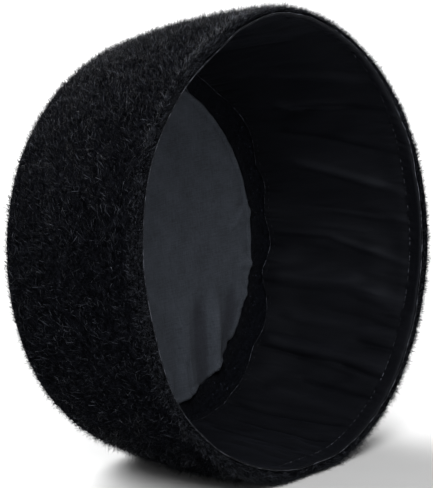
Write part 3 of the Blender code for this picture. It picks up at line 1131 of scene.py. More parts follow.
def satin_material(name, colour, specular, folded=False):
    """Satin: long floats along the cloth, a soft sheen that varies, and a fine weave. When folded,
    painted shade darkens it in the hollows of its folds.
    """
    material, tree, shader = new_material(name, colour, roughness=0.44, specular=specular, sheen=0.03)
    shader.inputs["Sheen Roughness"].default_value = 0.35
    shader.inputs["Sheen Tint"].default_value = SHEEN_TINT
    place = cloth_map(tree)
    floats = threads(tree, place, "X", pitch=0.032, distortion=0.6)
    picks = threads(tree, place, "Y", pitch=0.055, distortion=0.4)
    weave = weighed(tree, floats, picks, share=0.7)
    along = cloth_map(tree, scale=(14.0, 1.2, 1.0))
    slubs = noise_texture(tree, along, scale=1.0, detail=4.0, roughness=0.6)
    broad = cloth_map(tree, scale=(0.8, 0.5, 1.0))
    blotches = noise_texture(tree, broad, scale=1.0, detail=3.0, roughness=0.55)
    tone = weighed(tree, slubs, blotches, share=0.55)
    base = colour_ramp(tree, tone, toned(colour, SATIN_TONES))
    lines = colour_ramp(tree, weave, greys(SATIN_GROOVES))
    woven = mixed(tree, "MULTIPLY", 1.0, base, lines)
    # painted shade: darker in the hollows of the lining's folds, read from the fold heights that the
    # mesh keeps
    if folded:
        deep = colour_ramp(tree, fold_value(tree, height=0.3, middle=0.5), SATIN_FOLD_SHADE)
        woven = mixed(tree, "MULTIPLY", 1.0, woven, deep)
    tree.links.new(woven, shader.inputs["Base Color"])
    rough = colour_ramp(tree, tone, greys(SATIN_ROUGHNESS))
    tree.links.new(rough, shader.inputs["Roughness"])
    raised = math_node(tree, "ADD", weave, math_node(tree, "MULTIPLY", slubs, SLUB_HEIGHT))
    bump_from(tree, shader, raised, distance=0.05 * MM)
    return material


def weave_material(colour):
    """Plain weave: warp and weft over each other, slubs, faint blotches and lint; painted shade in the
    hollows of its folds and painted light on their crests.
    """
    name = "charcoal_weave"
    material, tree, shader = new_material(name, colour, roughness=0.88, specular=0.12, sheen=0.03)
    shader.inputs["Sheen Roughness"].default_value = 0.6
    place = cloth_map(tree)
    warp = threads(tree, place, "X", pitch=0.046, distortion=0.5)
    weft = threads(tree, place, "Y", pitch=0.050, distortion=0.5)
    weave = math_node(
        tree,
        "MULTIPLY",
        math_node(tree, "ADD", warp, THREAD_LEAST),
        math_node(tree, "ADD", weft, THREAD_LEAST),
    )
    along_warp = cloth_map(tree, scale=(24.0, 1.6, 1.0))
    slub_warp = noise_texture(tree, along_warp, scale=1.0, detail=3.0, roughness=0.6)
    along_weft = cloth_map(tree, scale=(1.6, 22.0, 1.0))
    slub_weft = noise_texture(tree, along_weft, scale=1.0, detail=3.0, roughness=0.6)
    slubs = weighed(tree, slub_warp, slub_weft, share=0.5)
    blotches = noise_texture(tree, place, scale=0.9, detail=4.0, roughness=0.6)
    tone = weighed(tree, slubs, blotches, share=0.7)
    base = colour_ramp(tree, tone, toned(colour, WEAVE_TONES))
    gaps = colour_ramp(tree, weave, WEAVE_GAPS)
    cloth = mixed(tree, "MULTIPLY", 1.0, base, gaps)
    lint = noise_texture(tree, place, scale=34.0, detail=1.0, roughness=0.4)
    specks = colour_ramp(tree, lint, greys(LINT_SPECKS))
    # painted shade in the hollows of the crown lining's folds and painted light on their crests, read
    # from the fold heights that the mesh keeps
    deep = colour_ramp(tree, fold_value(tree, height=0.25, middle=0.4), WEAVE_FOLD_SHADE_AND_LIGHT)
    cloth = mixed(tree, "MULTIPLY", 1.0, cloth, deep)
    worn = mixed(tree, "MIX", specks, cloth, tinted(colour, LINT_TONE))
    tree.links.new(worn, shader.inputs["Base Color"])
    bump_from(tree, shader, math_node(tree, "ADD", weave, slubs), distance=0.14 * MM)
    return material


def knit_material(colour):
    """Dark fuzzy knit with rows of loops and tiny light specks."""
    name = "dark_knit"
    material, tree, shader = new_material(name, colour, roughness=0.95, specular=0.04, sheen=0.02)
    place = object_place(tree)
    fuzz = noise_texture(tree, place, scale=1400.0, detail=3.0, roughness=0.7)
    rows = object_place(tree, scale=(1.0, 2.2, 1.0))
    loops = noise_texture(tree, rows, scale=480.0, detail=2.0, roughness=0.5)
    tone = math_node(tree, "MULTIPLY", fuzz, loops)
    base = colour_ramp(tree, tone, toned(colour, KNIT_TONES))
    spots = noise_texture(tree, place, scale=900.0, detail=1.0, roughness=0.4)
    specks = colour_ramp(tree, spots, greys(KNIT_SPECKS))
    speckled = mixed(tree, "MIX", specks, base, tinted(colour, SPECK_TONE))
    tree.links.new(speckled, shader.inputs["Base Color"])
    bump_from(tree, shader, tone, distance=0.7 * MM)
    return material


def thread_material(name, colour, lumps=620.0):
    """Spun thread: fibres and lumps that vary in tone, with a slight sheen."""
    material, tree, shader = new_material(name, colour, roughness=0.55, specular=0.1, sheen=0.05)
    place = object_place(tree)
    fibres = noise_texture(tree, place, scale=1900.0, detail=3.0, roughness=0.65)
    wear = noise_texture(tree, place, scale=lumps, detail=2.0, roughness=0.6)
    tone = weighed(tree, fibres, wear, share=0.2)
    ramp = colour_ramp(tree, tone, toned(colour, THREAD_TONES))
    tree.links.new(ramp, shader.inputs["Base Color"])
    bump_from(tree, shader, fibres, distance=0.08 * MM)
    return material


def fur_cloth(node, name, keep, settings):
    """The fur's backing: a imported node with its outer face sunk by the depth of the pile."""
    bm = cad_body(node)
    places = positions(bm)
    ups = np.array([vert.normal for vert in bm.verts])
    for vert, kept in zip(bm.verts, pile_depth(places, ups)):
        if all(keep(face.calc_center_median(), face.normal) for face in vert.link_faces):
            vert.co -= vert.normal * kept
    bmesh.ops.subdivide_edges(bm, edges=bm.edges, cuts=1, use_grid_fill=True)
    points = with_full_lip(positions(bm))
    bm.normal_update()
    lumps = noise_at(points, PILE_LUMP_SIZE, octaves=2) * PILE_LUMP_HEIGHT
    normals = np.array([vert.normal for vert in bm.verts])
    move_to(bm, points + normals * lumps[:, None])
    lift_off_floor(bm)
    material = bpy.data.materials.get("black_pile") or pile_material(settings)
    return add_piece(bm, name, material, [node])


def lift_off_floor(bm):
    """Keep a standing body's verts above the floor that it will be laid on."""
    for vert in bm.verts:
        laid = LAY_DOWN @ vert.co
        laid.z = max(laid.z, FLOOR_CLEARANCE * MM)
        vert.co = STAND_UP @ laid


def short_hairs(name, node, keep, count, settings, rng):
    """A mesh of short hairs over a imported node's outer face."""
    places, ups = outer_places(node, keep, count, rng)
    ways = hair_field(places, ups, rng)
    guard = rng.random(count) < GUARD_SHARE
    ways[guard] += GUARD_LIFT * ups[guard]
    ways /= np.linalg.norm(ways, axis=1, keepdims=True)
    lengths = settings.pile_length / MM * rng.uniform(*SHORT_LENGTHS, count)
    lengths *= length_kept(places, ups)
    lengths[guard] *= GUARD_LENGTH
    lengths *= 1.0 + LENGTH_PATCH_SHARE * noise_at(places, LENGTH_PATCH_SIZE)
    bends = rng.normal(0.0, SHORT_BEND, places.shape) - ups * SHORT_DROOP
    widths = settings.hair_width / MM / 2.0 * rng.uniform(*SHORT_WIDTHS, count)
    roots = with_full_lip(places - ups * (pile_depth(places, ups) + ROOT_DEPTH)[:, None])
    shades = rng.random(count)
    long = lengths[:, None]
    return lay_strands(name, spike_shape(), roots, ways * long, bends * long, widths, shades)


def long_hairs(name, node, keep, count, settings, rng):
    """A mesh of long curled hairs, scattered over the short ones."""
    places, ups = outer_places(node, keep, count, rng)
    lengths = rng.uniform(*LONG_LENGTHS, count) * length_kept(places, ups)
    ways = hair_field(places, ups, rng) + rng.normal(0.0, LONG_STRAY, places.shape)
    ways += ups * LONG_LIFT
    ways /= np.linalg.norm(ways, axis=1, keepdims=True)
    curl = np.cross(ups, ways) * rng.uniform(-LONG_CURL, LONG_CURL, (count, 1)) - ups * LONG_DROOP
    widths = settings.hair_width / MM / 2.0 * rng.uniform(*LONG_WIDTHS, count)
    roots = with_full_lip(places - ups * pile_depth(places, ups)[:, None] * LONG_ROOT_SHARE)
    shades = rng.random(count) ** LONG_SHADE_POWER
    runs = ways * lengths[:, None]
    bends = curl * lengths[:, None] * LONG_BEND
    return lay_strands(name, strand_shape(HAIR_SIDES, LONG_STOPS), roots, runs, bends, widths, shades)


def fold_field(angle, depth, folds):
    """The height of folds given as rows of start, end, half width and height."""
    height = np.zeros_like(angle)
    for from_angle, from_depth, to_angle, to_depth, half_width, high in folds:
        share = (from_depth - depth) / (from_depth - to_depth)
        aside = turn_between(angle, from_angle + (to_angle - from_angle) * share) / half_width
        shape = ridge(aside) if high > 0.0 else crease(aside)
        fade = ease((from_depth - depth) / FOLD_EASE) * ease((depth - to_depth) / FOLD_EASE + 1.0)
        height += high * shape * fade
    return height


def loose_folds(rng):
    """Rows of faint slanting folds all round the lining."""
    rows = []
    for _ in range(LOOSE_FOLDS):
        angle = rng.uniform(-180.0, 180.0)
        start = rng.uniform(*LOOSE_FOLD_STARTS)
        end = max(start - rng.uniform(*LOOSE_FOLD_LENGTHS), LOOSE_FOLD_LAST)
        turned = angle - FOLD_SLANT * (start - end) * rng.uniform(*LOOSE_FOLD_TURNS)
        high = rng.uniform(*LOOSE_FOLD_HEIGHTS) * rng.choice([-1.0, 1.0])
        rows.append((angle, start, turned, end, rng.uniform(*LOOSE_FOLD_HALF_WIDTHS), high))
    return rows


def gathers(angle, from_edge, slant, rng):
    """Small gathers along a sewn edge, which fade away from it."""
    height = np.zeros_like(angle)
    for _ in range(GATHERS):
        middle = rng.uniform(-180.0, 180.0)
        high = rng.uniform(*GATHER_HEIGHTS) * rng.choice([-1.0, 1.0])
        half_width = rng.uniform(*GATHER_HALF_WIDTHS)
        fading = ease(1.0 - from_edge / rng.uniform(*GATHER_REACH))
        height += high * crease(turn_between(angle, middle + slant * from_edge) / half_width) * fading
    return height


def lining_relief(angle, share, depth, from_hem, from_edge):
    """Folds, gathers at both sewn edges, and streaks along the satin, in millimetres."""
    rng = np.random.default_rng(LINING_SEED)
    height = fold_field(angle, depth, LINING_FOLDS)
    height += fold_field(angle, depth, loose_folds(rng))
    height += gathers(angle, from_hem, FOLD_SLANT, rng)
    height += EDGE_GATHER_SHARE * gathers(angle, from_edge, -FOLD_SLANT, rng)
    turned = around(angle + STREAK_SLANT * share) * CAP_RADIUS
    along = share[:, None]
    streaks = noise_at(turned + along * STREAK_LENGTH, STREAK_SIZE)
    shifted = turned + along * FINE_STREAK_LENGTH + FINE_STREAK_SHIFT
    fine = noise_at(shifted, FINE_STREAK_SIZE)
    return height + STREAK_HEIGHT * (streaks + FINE_STREAK_SHARE * fine)


class RoundGrid:
    """Values known at even angles and at given places along, read anywhere between."""

    def __init__(self, along, values):
        self.along = along
        self.values = values

    def read(self, angle, along):
        """The values at arrays of angles and places along."""
        steps = len(self.values)
        column = angle % 360.0 / 360.0 * steps
        row = np.interp(along, self.along, np.arange(len(self.along)))
        left, low = np.floor(column).astype(int), np.floor(row).astype(int)
        high = np.minimum(low + 1, len(self.along) - 1)
        across, up = column - left, row - low
        left, right = left % steps, (left + 1) % steps
        near = self.values[left, low] * (1.0 - up) + self.values[left, high] * up
        far = self.values[right, low] * (1.0 - up) + self.values[right, high] * up
        return near * (1.0 - across) + far * across


def wall_grid():
    """The radius of the fur cloth's inner face near the rim, by angle and depth."""
    angles = np.arange(GRID_STEPS) * 360.0 / GRID_STEPS
    face = CadFace("fur_side_band")
    rows = []
    for depth in WALL_DEPTHS:
        row = softened(face.radii(angles, np.full(GRID_STEPS, depth)), WALL_SOFTENING)
        rows.append(row - lip_fullness(angles, depth))
    return RoundGrid(WALL_DEPTHS, np.stack(rows, axis=1))


class LiningShape:
    """Where the side lining lies: its edges by angle, and its radius by angle and share."""

    def __init__(self):
        face = CadFace("side_lining")
        angles = np.arange(GRID_STEPS) * 360.0 / GRID_STEPS
        hem = softened(face.edge(angles, HEM_SEARCH, last=False), EDGE_SOFTENING)
        edge = softened(face.edge(angles, WAVY_SEARCH, last=True), EDGE_SOFTENING)
        shares = np.linspace(0.0, 1.0, LINING_ROWS)
        inset = 2.0 * SEARCH_STEP
        depths = (hem + inset)[:, None] + (edge - hem - 2.0 * inset)[:, None] * shares
        radii = face.radii(np.repeat(angles, LINING_ROWS), depths.ravel()).reshape(depths.shape)
        radii = softened_rows(softened(radii, EDGE_SOFTENING), LAP_SOFTENING)
        self.radius = RoundGrid(shares, radii)
        self.hem = read_round(angles, hem)
        self.edge = read_round(angles, edge)


def side_lining_cloth(shape, wall, settings):
    """The gathered satin wall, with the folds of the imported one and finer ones."""
    shares = np.linspace(0.0, 1.0, LINING_ROWS)
    shares = [0.0, EDGE_SHARE, *shares[1:-1], 1.0 - EDGE_SHARE, 1.0]
    bm = spun([(CAP_RADIUS, -share) for share in shares], LINING_STEPS)
    points = positions(bm)
    angle, share = angles_of(points), -points[:, 2]
    hem, edge = shape.hem(angle) - HEM_TUCK, shape.edge(angle)
    depth = hem + (edge - hem) * share
    relief = lining_relief(angle, share, depth, depth - hem, edge - depth)
    radius = shape.radius.read(angle, share) - relief
    seat = wall.read(angle, depth) - CLOTH_GAP - HEM_SEAT_INSET - HEM_SEAT_RELIEF * relief
    radius += (seat - radius) * ease(1.0 - (depth - hem) / HEM_SEAT_REACH)
    radius += HEM_TUCK_SUNK * ease(1.0 - (depth - hem) / HEM_TUCK_REACH)
    map_round(bm, depth, math.tau * CAP_RADIUS)
    move_to(bm, round_points(angle, radius, -depth))
    face_towards(bm, inward=True)
    # fold heights, which the satin turns into painted shade in the hollows
    add_values(bm, "fold", relief)
    satin = satin_material("black_satin", settings.satin_colour, specular=0.12, folded=True)
    piece = add_piece(bm, "side_lining_cloth", satin, ["side_lining"])
    thicken(piece, CLOTH_THICKNESS)
    return piece


def ring_tube(thickness, sides, steps, centre):
    """A closed tube round the cap; centre gives its radius and height at each angle."""
    turns = [math.tau * side / sides for side in range(sides)]
    section = [(CAP_RADIUS + thickness * math.cos(turn), thickness * math.sin(turn)) for turn in turns]
    bm = spun(section, steps, closed=True)
    points = positions(bm)
    angle = angles_of(points)
    aside = np.linalg.norm(points[:, :2], axis=1) - CAP_RADIUS
    radius, height = centre(angle)
    move_to(bm, round_points(angle, radius + aside, height + points[:, 2]))
    return bm


def read_round(angles, values):
    """A function that reads values given at angles round the cap, at any angle."""
    order = np.argsort(angles % 360.0)
    known, heights = (angles % 360.0)[order], np.asarray(values)[order]
    return lambda angle: np.interp(angle % 360.0, known, heights, period=360.0)


def stitch_row(name, place, pitch, length, thickness, rng):
    """A row of sewn stitches; place gives points on the cloth and normals at given angles."""
    count = int(math.tau * CAP_RADIUS / pitch)
    step = 360.0 / count
    jitter = rng.uniform(-STITCH_JITTER, STITCH_JITTER, count)
    middles = (np.arange(count) + jitter) * step
    half = np.degrees(length * rng.uniform(*STITCH_LENGTHS, count) / CAP_RADIUS / 2.0)
    starts, ups = place(middles - half)
    ends, _ = place(middles + half)
    rise = ups * STITCH_BULGE * thickness
    shape = strand_shape(STITCH_SIDES, STITCH_STOPS)
    radii = np.full(count, thickness)
    return lay_strands(name, shape, starts, ends - starts + rise, -rise, radii, rng.random(count))


def hem_width():
    """A function of the angle: how wide the hem is."""
    angles = np.arange(GRID_STEPS) * 360.0 / GRID_STEPS
    width = softened(CadFace("hem_band").edge(angles, HEM_SEARCH, last=True), EDGE_SOFTENING)
    return read_round(angles, width)


def hem_relief(angle, share):
    """Puckers across the hem, deepest at its stitches, and the unevenness of its roll."""
    rng = np.random.default_rng(HEM_SEED)
    height = ROLL_UNEVEN_HEIGHT * noise_at(around(angle) * CAP_RADIUS, ROLL_UNEVEN_SIZE, octaves=2)
    for _ in range(PUCKERS):
        middle = rng.uniform(-180.0, 180.0)
        half_width = rng.uniform(*PUCKER_HALF_WIDTHS)
        high = rng.uniform(*PUCKER_HEIGHTS) * rng.choice(PUCKER_SIGNS)
        fading = ease(1.0 - np.abs(share - HEM_STITCH_SHARE) / rng.uniform(*PUCKER_REACH))
        height += high * ridge(turn_between(angle, middle + PUCKER_SLANT * share) / half_width) * fading
    return height


def hem_cloth(wall, width_at, settings):
    """The rolled satin hem."""
    section = [(CAP_RADIUS - inset, -share) for share, inset in HEM_SECTION]
    bm = spun(section, HEM_STEPS, closed=True)
    points = positions(bm)
    angle = angles_of(points)
    share = -points[:, 2]
    inset = CAP_RADIUS - np.linalg.norm(points[:, :2], axis=1)
    shown = ease(inset / HEM_SHOWN_INSET)
    depth = share * width_at(angle)
    radius = wall.read(angle, depth) - CLOTH_GAP - inset - hem_relief(angle, share) * shown
    map_round(bm, depth + inset, math.tau * CAP_RADIUS)
    move_to(bm, round_points(angle, radius, -depth))
    # a darker copy of the lining's satin: painted shade on the hem
    colour = tinted(settings.satin_colour, HEM_SATIN_SHADE)[:3]
    satin = satin_material("hem_satin", colour, specular=0.09)
    return add_piece(bm, "hem_band_cloth", satin, ["hem_band"])


def hem_stitches(wall, width_at, settings):
    """The stitches that hold the hem down; on one side they are sunk in its roll."""

    def on_hem(angle):
        depth = HEM_STITCH_SHARE * width_at(angle)
        aside = np.abs(turn_between(angle, HEM_ROLLED_MIDDLE))
        sunk = HEM_ROLLED_SUNK * ease((HEM_ROLLED_HALF - aside) / HEM_ROLLED_EASE)
        radius = wall.read(angle, depth) - CLOTH_GAP - HEM_STITCH_INSET + sunk
        return round_points(angle, radius, -depth), -around(angle)

    rng = np.random.default_rng(HEM_STITCH_SEED)
    sizes = (HEM_STITCH_PITCH, HEM_STITCH_LENGTH, HEM_STITCH_RADIUS)
    mesh = stitch_row("hem_stitches", on_hem, *sizes, rng)
    thread = thread_material("hem_thread", settings.thread_colour)
    return add_mesh(mesh, "hem_stitches", thread)


def rim_fold_highlight(wall, settings):
    """The pale line where the fur meets the hem: a thin tube that paints the highlight along the
    satin's fold at the rim.
    """

    def rim_line(angle):
        wander = noise_at(around(angle) * CAP_RADIUS, RIM_LINE_WANDER_SIZE, octaves=2) * RIM_LINE_WANDER
        radius = wall.read(angle, np.zeros_like(angle)) - RIM_LINE_SUNK + wander
        return radius, RIM_LINE_RISE + wander

    tube = ring_tube(RIM_LINE_RADIUS, RIM_LINE_SIDES, HEM_STEPS, rim_line)
    # painted highlight: a pale tube along the rim's fold, made dotted by the thread's lumps
    fold = thread_material("rim_fold", settings.fold_highlight_colour, lumps=330.0)
    return add_piece(tube, "rim_fold_highlight", fold)


def lining_edge_thread(shape, settings):
    """The pale thread along the lining's wavy edge."""

    def edge_line(angle):
        wander = EDGE_LINE_WANDER * noise_at(around(angle) * CAP_RADIUS, EDGE_LINE_WANDER_SIZE)
        radius = shape.radius.read(angle, np.ones_like(angle)) - EDGE_LINE_SUNK
        return radius, wander - shape.edge(angle)

    tube = ring_tube(EDGE_LINE_RADIUS, EDGE_LINE_SIDES, HEM_STEPS, edge_line)
    thread = thread_material("edge_thread", settings.thread_colour, lumps=400.0)
    return add_piece(tube, "lining_edge_thread", thread)


def lining_stitches(shape, settings):
    """The dark stitches that sew the wavy edge down."""

    def on_lining(angle):
        length = shape.edge(angle) - shape.hem(angle)
        radius = shape.radius.read(angle, 1.0 - EDGE_ROW_INSET / length) - EDGE_ROW_SUNK
        return round_points(angle, radius, EDGE_ROW_INSET - shape.edge(angle)), -around(angle)

    rng = np.random.default_rng(EDGE_ROW_SEED)
    sizes = (EDGE_ROW_PITCH, EDGE_ROW_LENGTH, EDGE_ROW_RADIUS)
    mesh = stitch_row("lining_stitches", on_lining, *sizes, rng)
    dark = thread_material("lining_thread", tinted(settings.thread_colour, EDGE_ROW_TONE)[:3])
    return add_mesh(mesh, "lining_stitches", dark)


def seam_cloth(settings):
    """The fuzzy knitted band that covers the inner crown corner."""
    bm = cad_body("seam_band")
    bmesh.ops.subdivide_edges(bm, edges=bm.edges, cuts=2, use_grid_fill=True)
    bm.normal_update()
    points = positions(bm)
    normals = np.array([vert.normal for vert in bm.verts])
    lumps = SEAM_LUMP_HEIGHT * noise_at(points, SEAM_LUMP_SIZE, octaves=2)
    move_to(bm, points + normals * lumps[:, None])
    knit = knit_material(settings.knit_colour)
    return add_piece(bm, "seam_band_cloth", knit, ["seam_band"])


def on_seam(middle, normal):
    """True on the faces of the seam band that show from inside the cap."""
    inward = normal.dot(Vector((middle.x, middle.y, 0.0))) < 0.0
    return normal.z > SEAM_FIBRE_FACING or inward


def seam_fibres(settings):
    """Loose fibres that stand off the knitted band."""
    rng = np.random.default_rng(SEAM_SEED)
    places, ups = outer_places("seam_band", on_seam, SEAM_FIBRES, rng)
    ways = ups * SEAM_FIBRE_LIFT + rng.normal(0.0, SEAM_FIBRE_STRAY, places.shape)
    ways /= np.linalg.norm(ways, axis=1, keepdims=True)
    lengths = rng.uniform(*SEAM_FIBRE_LENGTHS, (SEAM_FIBRES, 1))
    bends = rng.normal(0.0, SEAM_FIBRE_BEND, places.shape) * lengths
    roots = places - ups * SEAM_FIBRE_ROOT
    radii = np.full(SEAM_FIBRES, SEAM_FIBRE_RADIUS)
    shades = rng.random(SEAM_FIBRES)
    shape = strand_shape(HAIR_SIDES, SEAM_FIBRE_STOPS)
    mesh = lay_strands("seam_fibres", shape, roots, ways * lengths, bends, radii, shades)
    fibre = thread_material("fibre", tinted(settings.knit_colour, SEAM_FIBRE_TONE)[:3])
    return add_mesh(mesh, "seam_fibres", fibre)


def crown_relief(points):
    """Folds of the crown lining and the step of its turned edge, in millimetres."""
    height = np.zeros(len(points))
    for from_x, from_y, to_x, to_y, half_width, high in CROWN_FOLDS:
        run = np.array([to_x - from_x, to_y - from_y])
        away = points[:, :2] - [from_x, from_y]
        along = away @ run / (run @ run)
        aside = (away[:, 0] * run[1] - away[:, 1] * run[0]) / np.linalg.norm(run)
        fold = ridge(aside / half_width) * ease(along / CROWN_FOLD_EASE)
        height += high * fold
    radius = np.linalg.norm(points[:, :2], axis=1)
    from_groove = (radius - CROWN_HEM_RADIUS) / CROWN_HEM_HALF_WIDTH
    height += CROWN_HEM_RISE * ridge(from_groove - CROWN_HEM_RISE_ASIDE)
    height -= CROWN_HEM_GROOVE * ridge(from_groove)
    ripples = CROWN_RIPPLE_HEIGHT * noise_at(points * [1.0, 1.0, 0.0], CROWN_RIPPLE_SIZE, octaves=2)
    height += ripples * ease((radius - CROWN_RIPPLE_FROM) / CROWN_RIPPLE_EASE)
    height += CROWN_SWELL_HEIGHT * noise_at(points, CROWN_SWELL_SIZE)
    return np.where(height < 0.0, CROWN_LOWEST * np.tanh(height / CROWN_LOWEST), height)


def crown_cloth(settings):
    """The woven disc inside the crown, with its turned edge, folds and small notches."""
    shares = np.linspace(0.0, 1.0, CROWN_RINGS) ** CROWN_RING_CROWDING
    section = [(CROWN_LINING_RADIUS * share, 0.0) for share in shares]
    section.append((CROWN_LINING_RADIUS + CROWN_TURN_OUT, -CROWN_TURN_DOWN))
    bm = spun(section, CROWN_STEPS)
    points = positions(bm)
    angle = angles_of(points)
    out = np.linalg.norm(points[:, :2], axis=1)
    edge = around(angle) * CROWN_EDGE_WAVE_RADIUS
    wave = CROWN_EDGE_WAVE * noise_at(edge, CROWN_EDGE_WAVE_SIZE, octaves=2)
    for middle, half_width, deep in EDGE_NOTCHES:
        wave -= deep / CROWN_LINING_RADIUS * ridge(turn_between(angle, middle) / half_width)
    near_edge = (out / CROWN_LINING_RADIUS - CROWN_EDGE_FROM) / (1.0 - CROWN_EDGE_FROM)
    flat = points * (1.0 + wave * ease(near_edge))[:, None]
    dome = CROWN_DOME * (1.0 - (out / CROWN_FLAT_RADIUS) ** 2)
    relief = crown_relief(flat)
    flat[:, 2] = points[:, 2] - CROWN_FRONT_DEPTH - dome + relief
    # fold heights, which the weave turns into painted shade in the hollows and painted light on the
    # crests
    add_values(bm, "fold", relief)
    map_flat(bm)
    move_to(bm, flat)
    face_towards(bm, inward=False)
    weave = weave_material(settings.weave_colour)
    piece = add_piece(bm, "crown_lining_cloth", weave, ["crown_lining"])
    thicken(piece, CROWN_LINING_THICKNESS)
    return piece


def soft_light(name, azimuth, elevation, distance, size, power):
    """A large square soft light, placed round the cap and turned to it."""
    light = bpy.data.lights.new(name, "AREA")
    light.size = size
    light.energy = power
    lamp = bpy.data.objects.new(name, light)
    lamp.location = round_the_cap(azimuth, elevation, distance)
    way = Vector(LIGHTS_LOOK_AT) - lamp.location
    lamp.rotation_euler = way.to_track_quat("-Z", "Y").to_euler()
    bpy.context.collection.objects.link(lamp)


def round_the_cap(azimuth, elevation, distance):
    """A place round the cap: azimuth 0 is in front of the opening, 90 on its right."""
    turn, rise = math.radians(azimuth), math.radians(elevation)
    out = Vector((math.sin(turn) * math.cos(rise), -math.cos(turn) * math.cos(rise), math.sin(rise)))
    return out * distance


def floor_and_backdrop(settings):
    """A round pale floor whose far rim sweeps up into a backdrop."""
    section = [(0.0, 0.0), (FLOOR_NEAR, 0.0), (FLOOR_RADIUS, 0.0)]
    for row in range(1, SWEEP_ROWS + 1):
        turn = math.radians(90.0 * row / SWEEP_ROWS)
        out = FLOOR_RADIUS + SWEEP_RADIUS * math.sin(turn)
        section.append((out, SWEEP_RADIUS * (1.0 - math.cos(turn))))
    section.append((FLOOR_RADIUS + SWEEP_RADIUS, BACKDROP_HEIGHT))
    bm = spun(section, FLOOR_STEPS)
    bmesh.ops.scale(bm, vec=(MM, MM, MM), verts=bm.verts)
    face_towards(bm, inward=False)
    mesh = bpy.data.meshes.new("floor")
    bm.to_mesh(mesh)
    bm.free()
    mesh.shade_smooth()
    colour = settings.floor_colour
    material, tree, shader = new_material("pale_floor", colour, roughness=0.9, specular=0.1)
    speckle = noise_texture(tree, object_place(tree), scale=60.0, detail=2.0, roughness=0.5)
    ramp = colour_ramp(tree, speckle, toned(colour, FLOOR_TONES))
    tree.links.new(ramp, shader.inputs["Base Color"])
    mesh.materials.append(material)
    floor = bpy.data.objects.new("floor", mesh)
    bpy.context.collection.objects.link(floor)


def picture_camera():
    """The camera of the picture, at its own distance and angle."""
    data = bpy.data.cameras.new("camera")
    data.lens = CAMERA_LENS
    data.sensor_width = CAMERA_SENSOR
    data.clip_start, data.clip_end = CAMERA_CLIP
    camera = bpy.data.objects.new("camera", data)
    camera.location = CAMERA_PLACE
    camera.rotation_euler = (math.pi / 2.0 - CAMERA_ELEVATION, 0.0, CAMERA_AZIMUTH)
    bpy.context.collection.objects.link(camera)
    bpy.context.scene.camera = camera


class PRAYER_CAP_OT_fur_side(bpy.types.Operator):
    """Make the side band's fur cloth and its short hairs"""

    bl_idname = "prayer_cap.fur_side"
    bl_label = "Fur side band"

    def execute(self, context):
        settings = context.scene.prayer_cap_fur
        cloth = fur_cloth("fur_side_band", "fur_side_cloth", on_side, settings)
        hair = hair_material("black_hair", settings, light_share=0.09, roughness=0.4, specular=0.035)
        # half the rim hairs take the light end of the ramp, so the lip carries more of its painted
        # highlight
        rim_hair = hair_material("rim_hair", settings, light_share=0.5, roughness=0.35, specular=0.25)
        for third, seed in enumerate(SIDE_HAIR_SEEDS, start=1):
            name = f"fur_side_hairs_{third}"
            rng = np.random.default_rng(seed)
            mesh = short_hairs(name, "fur_side_band", on_side, settings.side_hairs, settings, rng)
            add_mesh(mesh, name, hair)
        name = "fur_rim_hairs"
        rng = np.random.default_rng(RIM_HAIR_SEED)
        mesh = short_hairs(name, "fur_side_band", on_rim, settings.rim_hairs, settings, rng)
        add_mesh(mesh, name, rim_hair)
        return {"FINISHED"}


class PRAYER_CAP_OT_fur_crown(bpy.types.Operator):
    """Make the crown's fur cloth and its short hairs"""

    bl_idname = "prayer_cap.fur_crown"
    bl_label = "Fur crown"

    def execute(self, context):
        settings = context.scene.prayer_cap_fur
        cloth = fur_cloth("fur_crown", "fur_crown_cloth", on_crown, settings)
        name = "fur_crown_hairs"
        rng = np.random.default_rng(CROWN_HAIR_SEED)
        mesh = short_hairs(name, "fur_crown", on_crown, settings.crown_hairs, settings, rng)
        hairs = add_mesh(mesh, name, bpy.data.materials["black_hair"])
        return {"FINISHED"}


class PRAYER_CAP_OT_long_hairs(bpy.types.Operator):
    """Scatter the long curled hairs over the fur"""

    bl_idname = "prayer_cap.long_hairs"
    bl_label = "Long hairs"

    def execute(self, context):
        settings = context.scene.prayer_cap_fur
        light = hair_material("light_hair", settings, light_share=0.5, roughness=0.28, specular=0.5)
        rng = np.random.default_rng(LONG_HAIR_SEED)
        side = int(settings.long_hairs * LONG_SIDE_SHARE)
        for name, node, keep, count in (
            ("fur_side_long_hairs", "fur_side_band", on_side, side),
            ("fur_crown_long_hairs", "fur_crown", on_crown, settings.long_hairs - side),
        ):
            mesh = long_hairs(name, node, keep, count, settings, rng)
            add_mesh(mesh, name, light)
        return {"FINISHED"}


class PRAYER_CAP_OT_hem(bpy.types.Operator):
    """Make the rolled satin hem, its stitches and the painted highlight line along the fold at the rim
    """

    bl_idname = "prayer_cap.hem"
    bl_label = "Hem"

    def execute(self, context):
        settings = context.scene.prayer_cap_cloth
        wall, width_at = wall_grid(), hem_width()
        cloth = hem_cloth(wall, width_at, settings)
        sewn = [hem_stitches(wall, width_at, settings), rim_fold_highlight(wall, settings)]
        return {"FINISHED"}


class PRAYER_CAP_OT_side_lining(bpy.types.Operator):
    """Make the gathered satin lining and the threads along its wavy edge"""

    bl_idname = "prayer_cap.side_lining"
    bl_label = "Side lining"

    def execute(self, context):
        settings = context.scene.prayer_cap_cloth
        shape = LiningShape()
        cloth = side_lining_cloth(shape, wall_grid(), settings)
        sewn = [lining_edge_thread(shape, settings), lining_stitches(shape, settings)]
        return {"FINISHED"}


class PRAYER_CAP_OT_seam_band(bpy.types.Operator):
    """Make the fuzzy knitted band round the inner crown corner"""

    bl_idname = "prayer_cap.seam_band"
    bl_label = "Seam band"

    def execute(self, context):
        settings = context.scene.prayer_cap_cloth
        cloth = seam_cloth(settings)
        seam_fibres(settings)
        return {"FINISHED"}


